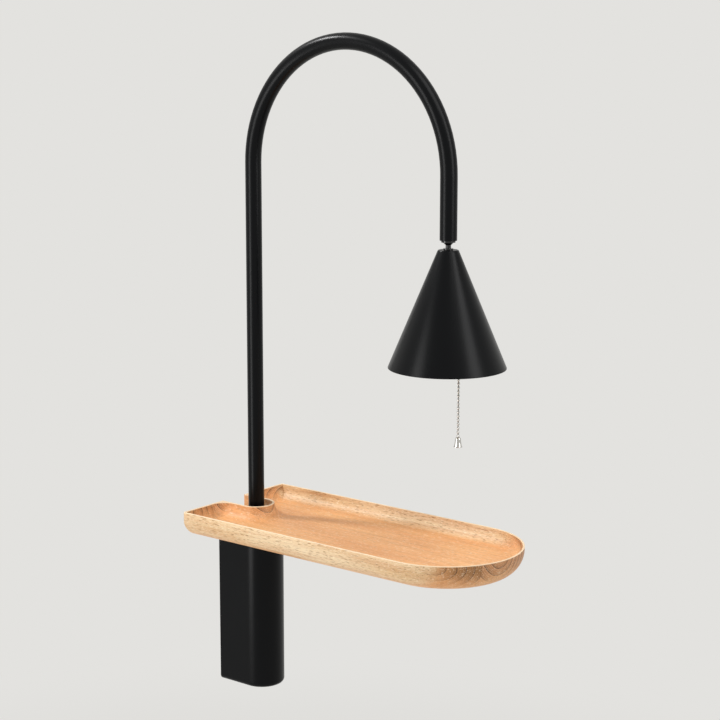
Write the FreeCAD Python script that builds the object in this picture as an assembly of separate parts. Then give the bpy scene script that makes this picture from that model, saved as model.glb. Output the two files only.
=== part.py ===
import FreeCAD, Part
import math
import os

from FreeCAD import Vector

# A wall lamp with a shelf: a D-shaped wall housing carries a dished wooden tray and an arm bent like a
# walking stick. A cone shade hangs from a ball joint at the arm's end, with a bead chain for its switch.
# The frame is in millimetres. The origin is on the wall, at the middle of the two wall screws. X runs along
# the wall, -Y points out into the room and Z is up.

# ---------------------------------------------------------------- driving dimensions
# wall housing
HOUSING_WIDTH = 39.0
HOUSING_DEPTH = 52.5
HOUSING_HEIGHT = 141.0
HOUSING_WALL = 2.0
HOUSING_EDGE_RADIUS = 4.0
BOSS_RADIUS = 4.4
BOSS_LENGTH = 14.0
BOSS_FLOOR = 1.5
SCREW_SPARE = 1.0
# wall plate
PLATE_WIDTH = 34.0
PLATE_HEIGHT = 122.0
PLATE_THICKNESS = 2.0
PLATE_CORNER_RADIUS = 4.0
TAB_WIDTH = 16.0
TAB_GAP = 2.0
BEND_RADIUS = 3.0
WALL_SCREW_SPACING = 90.0
WALL_SLOT_RADIUS = 2.4
WALL_SLOT_LENGTH = 9.0
CABLE_HOLE_RADIUS = 8.0
CABLE_HOLE_HEIGHT = -24.0
GROMMET_BORE_RADIUS = 3.6
GROMMET_FLANGE = 2.0
GROMMET_COLLAR = 1.5
# tray
TRAY_WIDTH = 130.0
TRAY_LENGTH = 300.0
TRAY_THICKNESS = 23.5
TRAY_EDGE_RADIUS = 21.0
TRAY_CORNER_RADIUS = 2.5
TRAY_RIM_WIDTH = 1.6
TRAY_BACK_WIDTH = 2.0
TRAY_COLLAR_WIDTH = 2.0
TRAY_DISH_DEPTH = 11.5
TRAY_COVE_RADIUS = 11.0
TRAY_POCKET_CORNER = 13.0
TRAY_RIM_ROUNDING = 0.4
NOTCH_RADIUS = 14.0
# steel bracket under the tray
BRACKET_WIDTH = 35.0
BRACKET_LENGTH = 150.0
BRACKET_THICKNESS = 3.0
TRAY_SCREW_SPREAD = 22.0
TRAY_SCREW_FROM_END = 15.0
TRAY_SCREW_PITCH = 60.0
TRAY_SCREW_LENGTH = 8.5
# bent arm
TUBE_DIAMETER = 14.0
TUBE_WALL = 1.2
ARM_FROM_WALL = 27.5
ARCH_RADIUS = 104.0
ARCH_ABOVE_TRAY = 300.0
LEG_LENGTH = 50.5
# arm bearing in the housing
SOCKET_WALL = 2.0
SOCKET_FLANGE_HEIGHT = 2.5
SOCKET_FLANGE_GAP = 1.5
SOCKET_DEPTH = 30.0
SOCKET_SHOULDER = 4.0
SOCKET_NUT_HEIGHT = 4.0
SOCKET_NUT_FLATS = 22.0
THRUST_WASHER_THICKNESS = 0.8
SPIGOT_RADIUS = 5.0
SPIGOT_BORE_RADIUS = 2.0
SPIGOT_GRIP = 17.0
SPIGOT_FLAT_DEPTH = 0.8
SPIGOT_NUT_HEIGHT = 4.8
SPIGOT_NUT_FLATS = 15.0
STOP_WASHER_THICKNESS = 1.2
STOP_PIN_RADIUS = 1.2
ARM_SWING = 75.0
# swivel at the arm's end
BALL_RADIUS = 4.6
BALL_RISE = 0.4
CUP_LIP = 1.5
CUP_LENGTH = 12.0
SEAT_RING_LENGTH = 4.0
CUP_PLUG_LENGTH = 5.0
PLUG_SLOT = 1.0
CUP_GROOVE_HEIGHT = 9.0
CUP_GROOVE_DEPTH = 0.45
GRUB_RADIUS = 1.25
GRUB_DROP = 0.1
GRUB_SOCKET_DEPTH = 0.6
SHADE_SPIN = 150.0
STEM_RADIUS = 2.2
STEM_BORE_RADIUS = 1.4
STEM_FLANGE_RADIUS = 4.0
STEM_FLANGE_HEIGHT = 1.2
STEM_THREAD_RADIUS = 3.0
STEM_THREAD_LENGTH = 8.0
NECK_GAP = 7.5
# shade
SHADE_DIAMETER = 96.0
SHADE_TOP_DIAMETER = 16.5
SHADE_HEIGHT = 95.5
SHADE_WALL = 1.2
SHADE_TOP_THICKNESS = 1.5
SHADE_TOP_ROUNDING = 1.0
SHADE_HEM_HEIGHT = 2.5
SHADE_HEM_THICKNESS = 2.0
# light unit inside the shade
CARRIER_HEIGHT = 38.0
CARRIER_THICKNESS = 3.0
CARRIER_FIT = 0.2
BOARD_RADIUS = 26.0
BOARD_THICKNESS = 1.6
BOARD_SCREW_RING = 16.0
BOARD_SCREW_ANGLE = 30.0
BOARD_SCREW_HEAD = 1.2
BOARD_OPENING_RADIUS = 7.5
CHIP_COUNT = 12
CHIP_RING_RADIUS = 22.5
CHIP_LENGTH = 3.5
CHIP_WIDTH = 2.8
CHIP_THICKNESS = 0.8
DIFFUSER_HEIGHT = 27.0
DIFFUSER_THICKNESS = 2.0
DIFFUSER_BEVEL = 1.0
STRAP_WIDTH = 7.0
STRAP_THICKNESS = 1.0
STRAP_FOOT = 8.0
SHADE_NUT_HEIGHT = 3.0
SHADE_NUT_FLATS = 10.0
# pull switch and chain
CHAIN_OFFSET = 11.5
SWITCH_WIDTH = 15.0
SWITCH_DEPTH = 11.0
SWITCH_HEIGHT = 17.0
SWITCH_WALL = 2.0
SWITCH_EDGE_RADIUS = 2.0
SWITCH_NECK_RADIUS = 3.5
SWITCH_NECK_LENGTH = 8.0
SWITCH_NUT_HEIGHT = 2.6
SWITCH_NUT_FLATS = 10.4
SWITCH_TRAVEL = 6.0
PLUNGER_RADIUS = 1.2
PLUNGER_HEAD_RADIUS = 2.3
PLUNGER_HEAD_HEIGHT = 1.5
EYELET_WALL = 1.2
EYELET_FLANGE_RADIUS = 4.6
EYELET_FLANGE_HEIGHT = 0.8
BEAD_RADIUS = 1.2
BEAD_PITCH = 3.3
BEAD_COUNT = 25
LINK_RADIUS = 0.45
BELL_RADIUS = 3.6
BELL_HEIGHT = 8.0
BELL_CROWN_RADIUS = 0.9
BELL_SHOULDER_RADIUS = 2.4
BELL_SHOULDER_DROP = 1.6
BELL_LIP_HEIGHT = 1.4
BELL_LIP_FLARE = 0.5
BELL_WALL = 0.6
BELL_HOLLOW = 5.0
# driver and terminals in the housing
DRIVER_WIDTH = 22.0
DRIVER_DEPTH = 18.0
DRIVER_HEIGHT = 72.0
DRIVER_EDGE_RADIUS = 1.5
DRIVER_EAR = 7.0
DRIVER_EAR_WIDTH = 11.0
DRIVER_EAR_THICKNESS = 2.0
DRIVER_CLEARANCE = 0.9
DRIVER_BOSS_RADIUS = 3.0
DRIVER_SCREW_DEPTH = 4.5
DRIVER_LEAD_SPREAD = 10.0
TERMINAL_WIDTH = 28.0
TERMINAL_DEPTH = 12.0
TERMINAL_HEIGHT = 16.0
TERMINAL_CLAMP_RADIUS = 1.9
TERMINAL_CLAMP_DROP = 1.2
TERMINAL_CLAMP_SLOT = 0.8
TERMINAL_WELL_DEPTH = 5.0
TERMINAL_WIRE_DEPTH = 6.5
TERMINAL_WIRE_RADIUS = 1.3
TERMINAL_SEAT = 5.0
TERMINAL_GAP = 2.0
EARTH_FROM_EDGE = 6.0
LEAD_STRAIGHT = 2.0
INPUT_LEAD_RADIUS = 2.2
OUTPUT_LEAD_RADIUS = 1.7
SHADE_LEAD_RADIUS = 1.1
# fasteners, by their shank radius
MACHINE_SCREW_RADIUS = 1.5
FIXING_SCREW_RADIUS = 2.0
WOOD_SCREW_RADIUS = 1.75
SMALL_SCREW_RADIUS = 1.25
HEAD_RATIO = 1.9
PAN_HEIGHT_RATIO = 1.3
PAN_SLOT_RATIO = 0.6
CARRIER_SCREW_SPARE = 1.5
HOUSING_SCREW_SPARE = 4.0
# fits
RUNNING_FIT = 0.05
LOOSE_FIT = 0.3

# ---------------------------------------------------------------- derived places
tube_radius = TUBE_DIAMETER / 2
tube_bore = tube_radius - TUBE_WALL
housing_radius = HOUSING_WIDTH / 2
housing_centre_y = housing_radius - HOUSING_DEPTH
housing_top = HOUSING_HEIGHT / 2
housing_base = -HOUSING_HEIGHT / 2
housing_floor = housing_base + HOUSING_WALL
housing_inner_radius = housing_radius - HOUSING_WALL
boss_x = housing_inner_radius - BOSS_RADIUS + LOOSE_FIT
rear_boss_y = -(PLATE_THICKNESS + BOSS_RADIUS + 2 * LOOSE_FIT)
front_boss_y = housing_centre_y - boss_x
boss_hole_base = housing_top - BOSS_LENGTH + BOSS_FLOOR

bracket_top = housing_top + BRACKET_THICKNESS
tray_rim = housing_top + TRAY_THICKNESS
tray_floor = tray_rim - TRAY_DISH_DEPTH
tray_end_y = TRAY_WIDTH / 2 - TRAY_LENGTH

arm_y = -ARM_FROM_WALL
arch_z = tray_rim + ARCH_ABOVE_TRAY
arch_y = arm_y - ARCH_RADIUS
shade_y = arm_y - 2 * ARCH_RADIUS
tube_end = arch_z - LEG_LENGTH

socket_bore = tube_radius + RUNNING_FIT
socket_radius = tube_radius + SOCKET_WALL
socket_flange_radius = NOTCH_RADIUS - SOCKET_FLANGE_GAP
socket_base = housing_top - SOCKET_DEPTH
shoulder_top = socket_base + SOCKET_SHOULDER
tube_start = shoulder_top + THRUST_WASHER_THICKNESS
stop_washer_top = socket_base - LOOSE_FIT
spigot_nut_top = stop_washer_top - STOP_WASHER_THICKNESS
spigot_base = spigot_nut_top - SPIGOT_NUT_HEIGHT - 2 * LOOSE_FIT
stop_pin_ring = socket_radius - STOP_PIN_RADIUS + LOOSE_FIT / 2
spigot_flat = SPIGOT_RADIUS - SPIGOT_FLAT_DEPTH

ball_z = tube_end + BALL_RISE
seat_radius = BALL_RADIUS + RUNNING_FIT
cup_radius = tube_bore - RUNNING_FIT
cup_top = ball_z + CUP_LENGTH
seat_ring_base = ball_z + BALL_RADIUS / 2
plug_base = seat_ring_base + SEAT_RING_LENGTH
grub_z = tube_end + CUP_GROOVE_HEIGHT
swivel_bore = STEM_BORE_RADIUS + LOOSE_FIT + OUTPUT_LEAD_RADIUS - SHADE_LEAD_RADIUS

shade_top = tube_end - NECK_GAP
shade_rim = shade_top - SHADE_HEIGHT
shade_radius = SHADE_DIAMETER / 2
shade_top_radius = SHADE_TOP_DIAMETER / 2
cone_slope = (shade_radius - shade_top_radius) / SHADE_HEIGHT
cone_wall = SHADE_WALL * math.hypot(1.0, cone_slope)
ceiling = shade_top - SHADE_TOP_THICKNESS
strap_base = ceiling - STRAP_THICKNESS

carrier_z = shade_rim + CARRIER_HEIGHT
carrier_top = carrier_z + CARRIER_THICKNESS
board_z = carrier_z - BOARD_THICKNESS
diffuser_z = shade_rim + DIFFUSER_HEIGHT
chain_y = shade_y - CHAIN_OFFSET
switch_base = carrier_top
neck_bore = PLUNGER_RADIUS + LOOSE_FIT
chamber_radius = PLUNGER_HEAD_RADIUS + LOOSE_FIT
chamber_top = switch_base + SWITCH_HEIGHT - SWITCH_WALL
head_top = chamber_top - LOOSE_FIT
head_base = head_top - PLUNGER_HEAD_HEIGHT
chamber_base = head_base - SWITCH_TRAVEL - LOOSE_FIT
eyelet_bore = BEAD_RADIUS + 2 * LOOSE_FIT
eyelet_base = diffuser_z - EYELET_FLANGE_HEIGHT
plunger_base = eyelet_base
first_bead_z = plunger_base - BEAD_RADIUS - LOOSE_FIT
last_bead_z = first_bead_z - BEAD_PITCH * (BEAD_COUNT - 1)
bell_top = last_bead_z - BEAD_RADIUS + LINK_RADIUS / 2

driver_front = housing_centre_y - 2 * housing_inner_radius / 3
driver_base = housing_floor + DRIVER_EAR + DRIVER_CLEARANCE
driver_top = driver_base + DRIVER_HEIGHT
driver_lead_y = driver_front + DRIVER_DEPTH / 2
terminal_z = CABLE_HOLE_HEIGHT + CABLE_HOLE_RADIUS + GROMMET_FLANGE + TERMINAL_HEIGHT / 2 + TERMINAL_GAP
tab_reach = ARM_FROM_WALL - SOCKET_NUT_FLATS / 2 - TAB_GAP
tab_screw_y = TAB_WIDTH / 2 - PLATE_THICKNESS - tab_reach
terminal_front = -PLATE_THICKNESS - TERMINAL_DEPTH
terminal_pitch = TERMINAL_WIDTH / 3
terminal_wire_y = terminal_front + TERMINAL_WIRE_DEPTH
earth_z = terminal_z + TERMINAL_HEIGHT
earth_x = PLATE_WIDTH / 2 - EARTH_FROM_EDGE


# ---------------------------------------------------------------- shape helpers
def level(z):
    """Turns a plan point (x, y) into a point at height z."""
    return lambda x, y: Vector(x, y, z)


def upright(y):
    """Turns a point (x, z) into a point of the plane at y that is parallel to the wall."""
    return lambda x, z: Vector(x, y, z)


def sideways(x):
    """Turns a point (y, z) into a point of the plane at x that is square to the wall."""
    return lambda y, z: Vector(x, y, z)


def outline(plane, start, *steps):
    """Closed flat face. A step (u, v) is a straight run, and ((u, v), (u, v)) an arc through the first."""
    edges = []
    here = start
    for step in steps:
        if isinstance(step[0], tuple):
            through, end = step
            edges.append(Part.Arc(plane(*here), plane(*through), plane(*end)).toShape())
        else:
            end = step
            edges.append(Part.LineSegment(plane(*here), plane(*end)).toShape())
        here = end
    if plane(*here).distanceToPoint(plane(*start)) > 1e-6:
        edges.append(Part.LineSegment(plane(*here), plane(*start)).toShape())
    return Part.Face(Part.Wire(edges))


def turned(centre_y, start, *steps):
    """A turned piece: the outline (radius, height) spun about the vertical line at x = 0, y = centre_y."""
    face = outline(upright(centre_y), start, *steps)
    return face.revolve(Vector(0, centre_y, 0), Vector(0, 0, 1), 360)


def rod(radius, x, y, base, top):
    return Part.makeCylinder(radius, top - base, Vector(x, y, base))


def ring(outer, inner, y, base, top):
    return rod(outer, 0, y, base, top).cut(rod(inner, 0, y, base, top))


def rod_out(radius, x, z, back, front):
    """Rod along -Y, away from the wall, from y = back to y = front."""
    return Part.makeCylinder(radius, back - front, Vector(x, back, z), Vector(0, -1, 0))


def block(width, back, front, base, top, x=0.0):
    """Box centred on x, from y = back out to y = front."""
    return Part.makeBox(width, back - front, top - base, Vector(x - width / 2, front, base))


def hexagon(across_flats, y, base, top, turn):
    """Hexagonal prism whose first corner stands at the angle turn, in degrees from +X."""
    corner = across_flats / math.sqrt(3.0)
    angles = [math.radians(60 * i + turn) for i in range(6)]
    points = [(corner * math.cos(a), y + corner * math.sin(a)) for a in angles]
    return outline(level(base), *points).extrude(Vector(0, 0, top - base))


def nut(across_flats, bore, y, base, top, turn=0):
    """Hexagonal nut whose corners are turned off at 30 degrees, as on the real ones."""
    corner = across_flats / math.sqrt(3.0)
    drop = (corner - across_flats / 2) * math.tan(math.radians(30))
    cone = turned(y, (0, base), (across_flats / 2, base), (corner, base + drop), (corner, top - drop),
                  (across_flats / 2, top), (0, top))
    return hexagon(across_flats, y, base, top, turn).common(cone).cut(rod(bore, 0, y, base, top))


def swept(radius, edges, start, direction):
    """Round bar of one radius along joined edges."""
    section = Part.Wire(Part.makeCircle(radius, start, direction))
    return Part.Wire(edges).makePipeShell([section], True, True)


def countersunk(radius, x, y, face, tip):
    """Vertical countersunk screw whose flat head lies in the plane z = face."""
    toward = 1 if tip > face else -1
    head = radius * HEAD_RATIO
    cone = Part.makeCone(head, radius, head - radius, Vector(x, y, face), Vector(0, 0, toward))
    shank = Part.makeCylinder(radius, abs(tip - face), Vector(x, y, face), Vector(0, 0, toward))
    recess = Part.makeCylinder(radius / 2, radius / 2, Vector(x, y, face), Vector(0, 0, toward))
    return cone.fuse(shank).removeSplitter().cut(recess)


def sink(radius, x, y, face, toward):
    """The hole that a countersunk screw leaves in the sheet that it holds."""
    head = radius * HEAD_RATIO
    return Part.makeCone(head, radius, head - radius, Vector(x, y, face), Vector(0, 0, toward))


def pan_screw_out(radius, x, z, seat, tip):
    """Pan-head screw along Y: its head's underside is at y = seat and its shank runs to y = tip."""
    toward = 1 if tip > seat else -1
    head_radius = radius * HEAD_RATIO
    height = radius * PAN_HEIGHT_RATIO
    depth = radius * PAN_SLOT_RATIO
    half = depth / 2
    head = Part.makeCylinder(head_radius, height, Vector(x, seat, z), Vector(0, -toward, 0))
    shank = Part.makeCylinder(radius, abs(tip - seat), Vector(x, seat, z), Vector(0, toward, 0))
    face_y = seat - toward * height
    slot = block(2 * head_radius, face_y + depth, face_y - depth, z - half, z + half, x)
    return head.fuse(shank).removeSplitter().cut(slot)


def group(shapes):
    return Part.makeCompound(shapes)


def edges_at(shape, z, keep):
    """Edges that lie wholly at height z and whose middle passes the test keep."""
    found = []
    for edge in shape.Edges:
        box = edge.BoundBox
        if abs(box.ZMin - z) < 1e-4 and abs(box.ZMax - z) < 1e-4 and keep(edge.CenterOfMass):
            found.append(edge)
    return found


def long_upright_edges(shape, length):
    return [edge for edge in shape.Edges if abs(edge.BoundBox.ZLength - length) < 1e-3]


def cone_inside(z, gap=0.0):
    """Radius of the shade's inner wall at height z, less a gap."""
    return shade_radius - cone_slope * (z - shade_rim) - cone_wall - gap


# ---------------------------------------------------------------- wall housing
def d_prism(inset, back, base, top):
    """Prism with the housing's D outline, inset all round, from its back edge at y = back."""
    half = housing_radius - inset
    face = outline(level(base), (-half, back), (-half, housing_centre_y),
                   ((0, housing_centre_y - half), (half, housing_centre_y)), (half, back))
    return face.extrude(Vector(0, 0, top - base))


def boss_places():
    return [(-boss_x, rear_boss_y), (boss_x, rear_boss_y), (0, front_boss_y)]


def driver_screw_heights():
    return [driver_base - DRIVER_EAR / 2, driver_top + DRIVER_EAR / 2]


def housing_shell():
    """Cast shell: a D-shaped cup, open at the wall and at the top, with bosses for the bracket and driver."""
    body = d_prism(0, 0, housing_base, housing_top)
    body = body.makeFillet(HOUSING_EDGE_RADIUS, edges_at(body, housing_base, lambda c: c.y < -0.1))
    inner_radius = max(HOUSING_EDGE_RADIUS - HOUSING_WALL, HOUSING_WALL / 2)
    hollow = d_prism(HOUSING_WALL, 1, housing_floor, housing_top + 1)
    hollow = hollow.makeFillet(inner_radius, edges_at(hollow, housing_floor, lambda c: c.y < 0.9))
    shell = body.cut(hollow)
    envelope = d_prism(HOUSING_WALL / 2, 0, housing_floor, housing_top)
    boss_base = housing_top - BOSS_LENGTH
    bosses = [rod(BOSS_RADIUS, x, y, boss_base, housing_top) for x, y in boss_places()]
    wall_y = housing_centre_y - housing_radius + HOUSING_WALL / 2
    bosses += [rod_out(DRIVER_BOSS_RADIUS, 0, z, driver_front, wall_y) for z in driver_screw_heights()]
    shell = shell.fuse([boss.common(envelope) for boss in bosses]).removeSplitter()
    holes = [rod(MACHINE_SCREW_RADIUS, x, y, boss_hole_base, housing_top) for x, y in boss_places()]
    deep = driver_front - DRIVER_SCREW_DEPTH
    holes += [rod_out(MACHINE_SCREW_RADIUS, 0, z, driver_front, deep) for z in driver_screw_heights()]
    holes.append(rod(FIXING_SCREW_RADIUS, 0, tab_screw_y, housing_base, housing_floor))
    holes.append(sink(FIXING_SCREW_RADIUS, 0, tab_screw_y, housing_base, 1))
    return shell.cut(holes)


def bent_strap():
    """The narrow strip of the wall plate, whose two ends are bent forward inside the housing."""
    t = PLATE_THICKNESS
    outer = BEND_RADIUS
    bend = outer * (1 - math.sqrt(0.5))
    inner = outer - t
    inner_bend = t + inner * (1 - math.sqrt(0.5))
    low = housing_floor
    high = housing_top
    face = outline(sideways(-TAB_WIDTH / 2), (0, low + outer), (0, high - outer),
                   ((-bend, high - bend), (-outer, high)), (-tab_reach, high), (-tab_reach, high - t),
                   (-outer, high - t), ((-inner_bend, high - inner_bend), (-t, high - outer)),
                   (-t, low + outer), ((-inner_bend, low + inner_bend), (-outer, low + t)),
                   (-tab_reach, low + t), (-tab_reach, low), (-outer, low),
                   ((-bend, low + bend), (0, low + outer)))
    return face.extrude(Vector(TAB_WIDTH, 0, 0))


def wall_slot(z):
    """Upright slot through the wall plate, centred at height z."""
    run = WALL_SLOT_LENGTH / 2 - WALL_SLOT_RADIUS
    r = WALL_SLOT_RADIUS
    face = outline(upright(0.5), (-r, z - run), ((0, z - run - r), (r, z - run)), (r, z + run),
                   ((0, z + run + r), (-r, z + run)))
    return face.extrude(Vector(0, -PLATE_THICKNESS - 1, 0))


def wall_plate():
    """Pressed steel plate that is screwed to the wall and that the housing hangs on."""
    sheet = block(PLATE_WIDTH, 0, -PLATE_THICKNESS, -PLATE_HEIGHT / 2, PLATE_HEIGHT / 2)
    corners = [e for e in sheet.Edges if abs(e.BoundBox.YLength - PLATE_THICKNESS) < 1e-3]
    plate = sheet.makeFillet(PLATE_CORNER_RADIUS, corners).fuse(bent_strap()).removeSplitter()
    cuts = [wall_slot(WALL_SCREW_SPACING / 2), wall_slot(-WALL_SCREW_SPACING / 2)]
    cuts.append(rod_out(CABLE_HOLE_RADIUS, 0, CABLE_HOLE_HEIGHT, 0, -PLATE_THICKNESS))
    cuts.append(rod_out(FIXING_SCREW_RADIUS, earth_x, earth_z, 0, -PLATE_THICKNESS))
    cuts += [rod_out(SMALL_SCREW_RADIUS, x, terminal_z, 0, -PLATE_THICKNESS) for x in terminal_screw_places()]
    cuts.append(rod(FIXING_SCREW_RADIUS, 0, tab_screw_y, housing_floor, housing_floor + PLATE_THICKNESS))
    return plate.cut(cuts)


def housing_screw():
    tip = housing_floor + PLATE_THICKNESS + HOUSING_SCREW_SPARE
    return countersunk(FIXING_SCREW_RADIUS, 0, tab_screw_y, housing_base, tip)


def cable_grommet():
    """Rubber bush that lines the cable hole, with its collar on the inner side of the plate."""
    flange = CABLE_HOLE_RADIUS + GROMMET_FLANGE
    bush = rod_out(CABLE_HOLE_RADIUS, 0, CABLE_HOLE_HEIGHT, 0, -PLATE_THICKNESS)
    front = -PLATE_THICKNESS - GROMMET_COLLAR
    collar = rod_out(flange, 0, CABLE_HOLE_HEIGHT, -PLATE_THICKNESS, front)
    bore = rod_out(GROMMET_BORE_RADIUS, 0, CABLE_HOLE_HEIGHT, 0, front)
    return bush.fuse(collar).removeSplitter().cut(bore)


# ---------------------------------------------------------------- terminals and driver
def terminal_screw_places():
    return [-terminal_pitch / 2, terminal_pitch / 2]


def terminal_clamp_places():
    places = []
    for i in (-1, 0, 1):
        places.append((i * terminal_pitch, terminal_z - TERMINAL_HEIGHT / 4))
        places.append((i * terminal_pitch, terminal_z + TERMINAL_HEIGHT / 4))
    return places


def terminal_block():
    """Three-way terminal strip: a foot with three rounded barrels, screw wells and wire holes."""
    base = terminal_z - TERMINAL_HEIGHT / 2
    top = terminal_z + TERMINAL_HEIGHT / 2
    back = -PLATE_THICKNESS
    foot = block(TERMINAL_WIDTH, back, terminal_front + TERMINAL_DEPTH / 2, base, top)
    barrel_radius = terminal_pitch / 2 - LOOSE_FIT
    barrels = []
    for i in (-1, 0, 1):
        x = i * terminal_pitch
        barrels.append(block(2 * barrel_radius, back - 1, terminal_front + barrel_radius, base, top, x))
        barrels.append(rod(barrel_radius, x, terminal_front + barrel_radius, base, top))
    body = foot.fuse(barrels).removeSplitter()
    well_floor = terminal_front + TERMINAL_WELL_DEPTH
    cuts = []
    for x, z in terminal_clamp_places():
        cuts.append(rod_out(TERMINAL_CLAMP_RADIUS, x, z, well_floor, terminal_front - 1))
    for i in (-1, 0, 1):
        cuts.append(rod(TERMINAL_WIRE_RADIUS, i * terminal_pitch, terminal_wire_y, base, top))
    for x in terminal_screw_places():
        cuts.append(rod_out(SMALL_SCREW_RADIUS, x, terminal_z, back, terminal_front))
        well_radius = SMALL_SCREW_RADIUS * HEAD_RATIO
        cuts.append(rod_out(well_radius, x, terminal_z, back - TERMINAL_SEAT, terminal_front - 1))
    return body.cut(cuts)


def terminal_clamps():
    """The six wire-clamping screws in their wells."""
    screws = []
    for x, z in terminal_clamp_places():
        head = terminal_front + TERMINAL_CLAMP_DROP
        screw = rod_out(TERMINAL_CLAMP_RADIUS, x, z, terminal_front + TERMINAL_WELL_DEPTH, head)
        half = TERMINAL_CLAMP_SLOT / 2
        slot = block(2 * TERMINAL_CLAMP_RADIUS, head + half, head, z - half, z + half, x)
        screws.append(screw.cut(slot))
    return group(screws)


def terminal_screws():
    seat = -PLATE_THICKNESS - TERMINAL_SEAT
    return group([pan_screw_out(SMALL_SCREW_RADIUS, x, terminal_z, seat, 0) for x in terminal_screw_places()])


def earth_screw():
    return pan_screw_out(FIXING_SCREW_RADIUS, earth_x, earth_z, -PLATE_THICKNESS, 0)


def led_driver():
    """Constant-current driver: a closed case with rounded edges and a screw ear at each end."""
    back = driver_front + DRIVER_DEPTH
    case = block(DRIVER_WIDTH, back, driver_front, driver_base, driver_top)
    case = case.makeFillet(DRIVER_EDGE_RADIUS, long_upright_edges(case, DRIVER_HEIGHT))
    ears = block(DRIVER_EAR_WIDTH, driver_front + DRIVER_EAR_THICKNESS, driver_front,
                 driver_base - DRIVER_EAR, driver_top + DRIVER_EAR)
    holes = []
    for z in driver_screw_heights():
        holes.append(rod_out(MACHINE_SCREW_RADIUS, 0, z, driver_front + DRIVER_EAR_THICKNESS, driver_front))
    return case.fuse(ears).removeSplitter().cut(holes)


def driver_screws():
    seat = driver_front + DRIVER_EAR_THICKNESS
    tip = driver_front - DRIVER_SCREW_DEPTH
    return group([pan_screw_out(MACHINE_SCREW_RADIUS, 0, z, seat, tip) for z in driver_screw_heights()])


def driver_input_lead():
    """Sheathed lead from the terminal strip's top, over in a half round, to the driver's top."""
    x = -DRIVER_LEAD_SPREAD / 2
    start_y = terminal_wire_y
    radius = (start_y - driver_lead_y) / 2
    middle_y = (start_y + driver_lead_y) / 2
    start = Vector(x, start_y, terminal_z + TERMINAL_HEIGHT / 2)
    bend_z = max(driver_top, start.z) + LEAD_STRAIGHT / 2
    lift = Part.LineSegment(start, Vector(x, start_y, bend_z)).toShape()
    bend = Part.Arc(Vector(x, start_y, bend_z), Vector(x, middle_y, bend_z + radius),
                    Vector(x, driver_lead_y, bend_z)).toShape()
    drop = Part.LineSegment(Vector(x, driver_lead_y, bend_z), Vector(x, driver_lead_y, driver_top)).toShape()
    return swept(INPUT_LEAD_RADIUS, [lift, bend, drop], start, Vector(0, 0, 1))


def driver_output_lead():
    """Lead from the driver's top in an S to the foot of the arm's spigot."""
    start = Vector(DRIVER_LEAD_SPREAD / 2, driver_lead_y, driver_top)
    end = Vector(0, arm_y, spigot_base - LOOSE_FIT)
    across = Vector(end.x - start.x, end.y - start.y, 0)
    shift = across.Length
    side = across.normalize()
    up = Vector(0, 0, 1)
    straight = LEAD_STRAIGHT / 2
    rise = end.z - start.z - 2 * straight
    half_angle = math.atan2(shift, rise)
    radius = shift / 2 / (1 - math.cos(2 * half_angle))
    low = start + up * straight
    middle = low + side * (shift / 2) + up * (rise / 2)
    high = end - up * straight
    lower = low + side * (radius * (1 - math.cos(half_angle))) + up * (radius * math.sin(half_angle))
    upper = high - side * (radius * (1 - math.cos(half_angle))) - up * (radius * math.sin(half_angle))
    path = [Part.LineSegment(start, low).toShape(), Part.Arc(low, lower, middle).toShape(),
            Part.Arc(middle, upper, high).toShape(), Part.LineSegment(high, end).toShape()]
    print("driver output lead bends at radius", round(radius, 1))
    return swept(OUTPUT_LEAD_RADIUS, path, start, up)


# ---------------------------------------------------------------- tray and its bracket
def bracket_outline(plane, grow):
    """Tongue with a half-round front end, grown by a clearance."""
    half = BRACKET_WIDTH / 2 + grow
    bend_y = BRACKET_WIDTH / 2 - BRACKET_LENGTH
    back = -LOOSE_FIT if grow == 0 else 1.0
    return outline(plane, (-half, back), (-half, bend_y), ((0, bend_y - half), (half, bend_y)), (half, back))


def tray_screw_places():
    x = TRAY_SCREW_SPREAD / 2
    front = TRAY_SCREW_FROM_END - BRACKET_LENGTH
    rear = front + TRAY_SCREW_PITCH
    return [(-x, rear), (x, rear), (-x, front), (x, front)]


def tray_bracket():
    """Steel tongue on the housing's top: it carries the tray and the arm's socket."""
    plate = bracket_outline(level(housing_top), 0).extrude(Vector(0, 0, BRACKET_THICKNESS))
    cuts = [rod(socket_radius, 0, arm_y, housing_top, bracket_top)]
    for x, y in boss_places():
        cuts.append(rod(MACHINE_SCREW_RADIUS, x, y, housing_top, bracket_top))
        cuts.append(sink(MACHINE_SCREW_RADIUS, x, y, bracket_top, -1))
    for x, y in tray_screw_places():
        cuts.append(rod(WOOD_SCREW_RADIUS, x, y, housing_top, bracket_top))
        cuts.append(sink(WOOD_SCREW_RADIUS, x, y, housing_top, 1))
    return plate.cut(cuts)


def bracket_screws():
    tip = boss_hole_base + SCREW_SPARE
    return group([countersunk(MACHINE_SCREW_RADIUS, x, y, bracket_top, tip) for x, y in boss_places()])


def tray_screws():
    tip = housing_top + TRAY_SCREW_LENGTH
    return group([countersunk(WOOD_SCREW_RADIUS, x, y, housing_top, tip) for x, y in tray_screw_places()])


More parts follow.
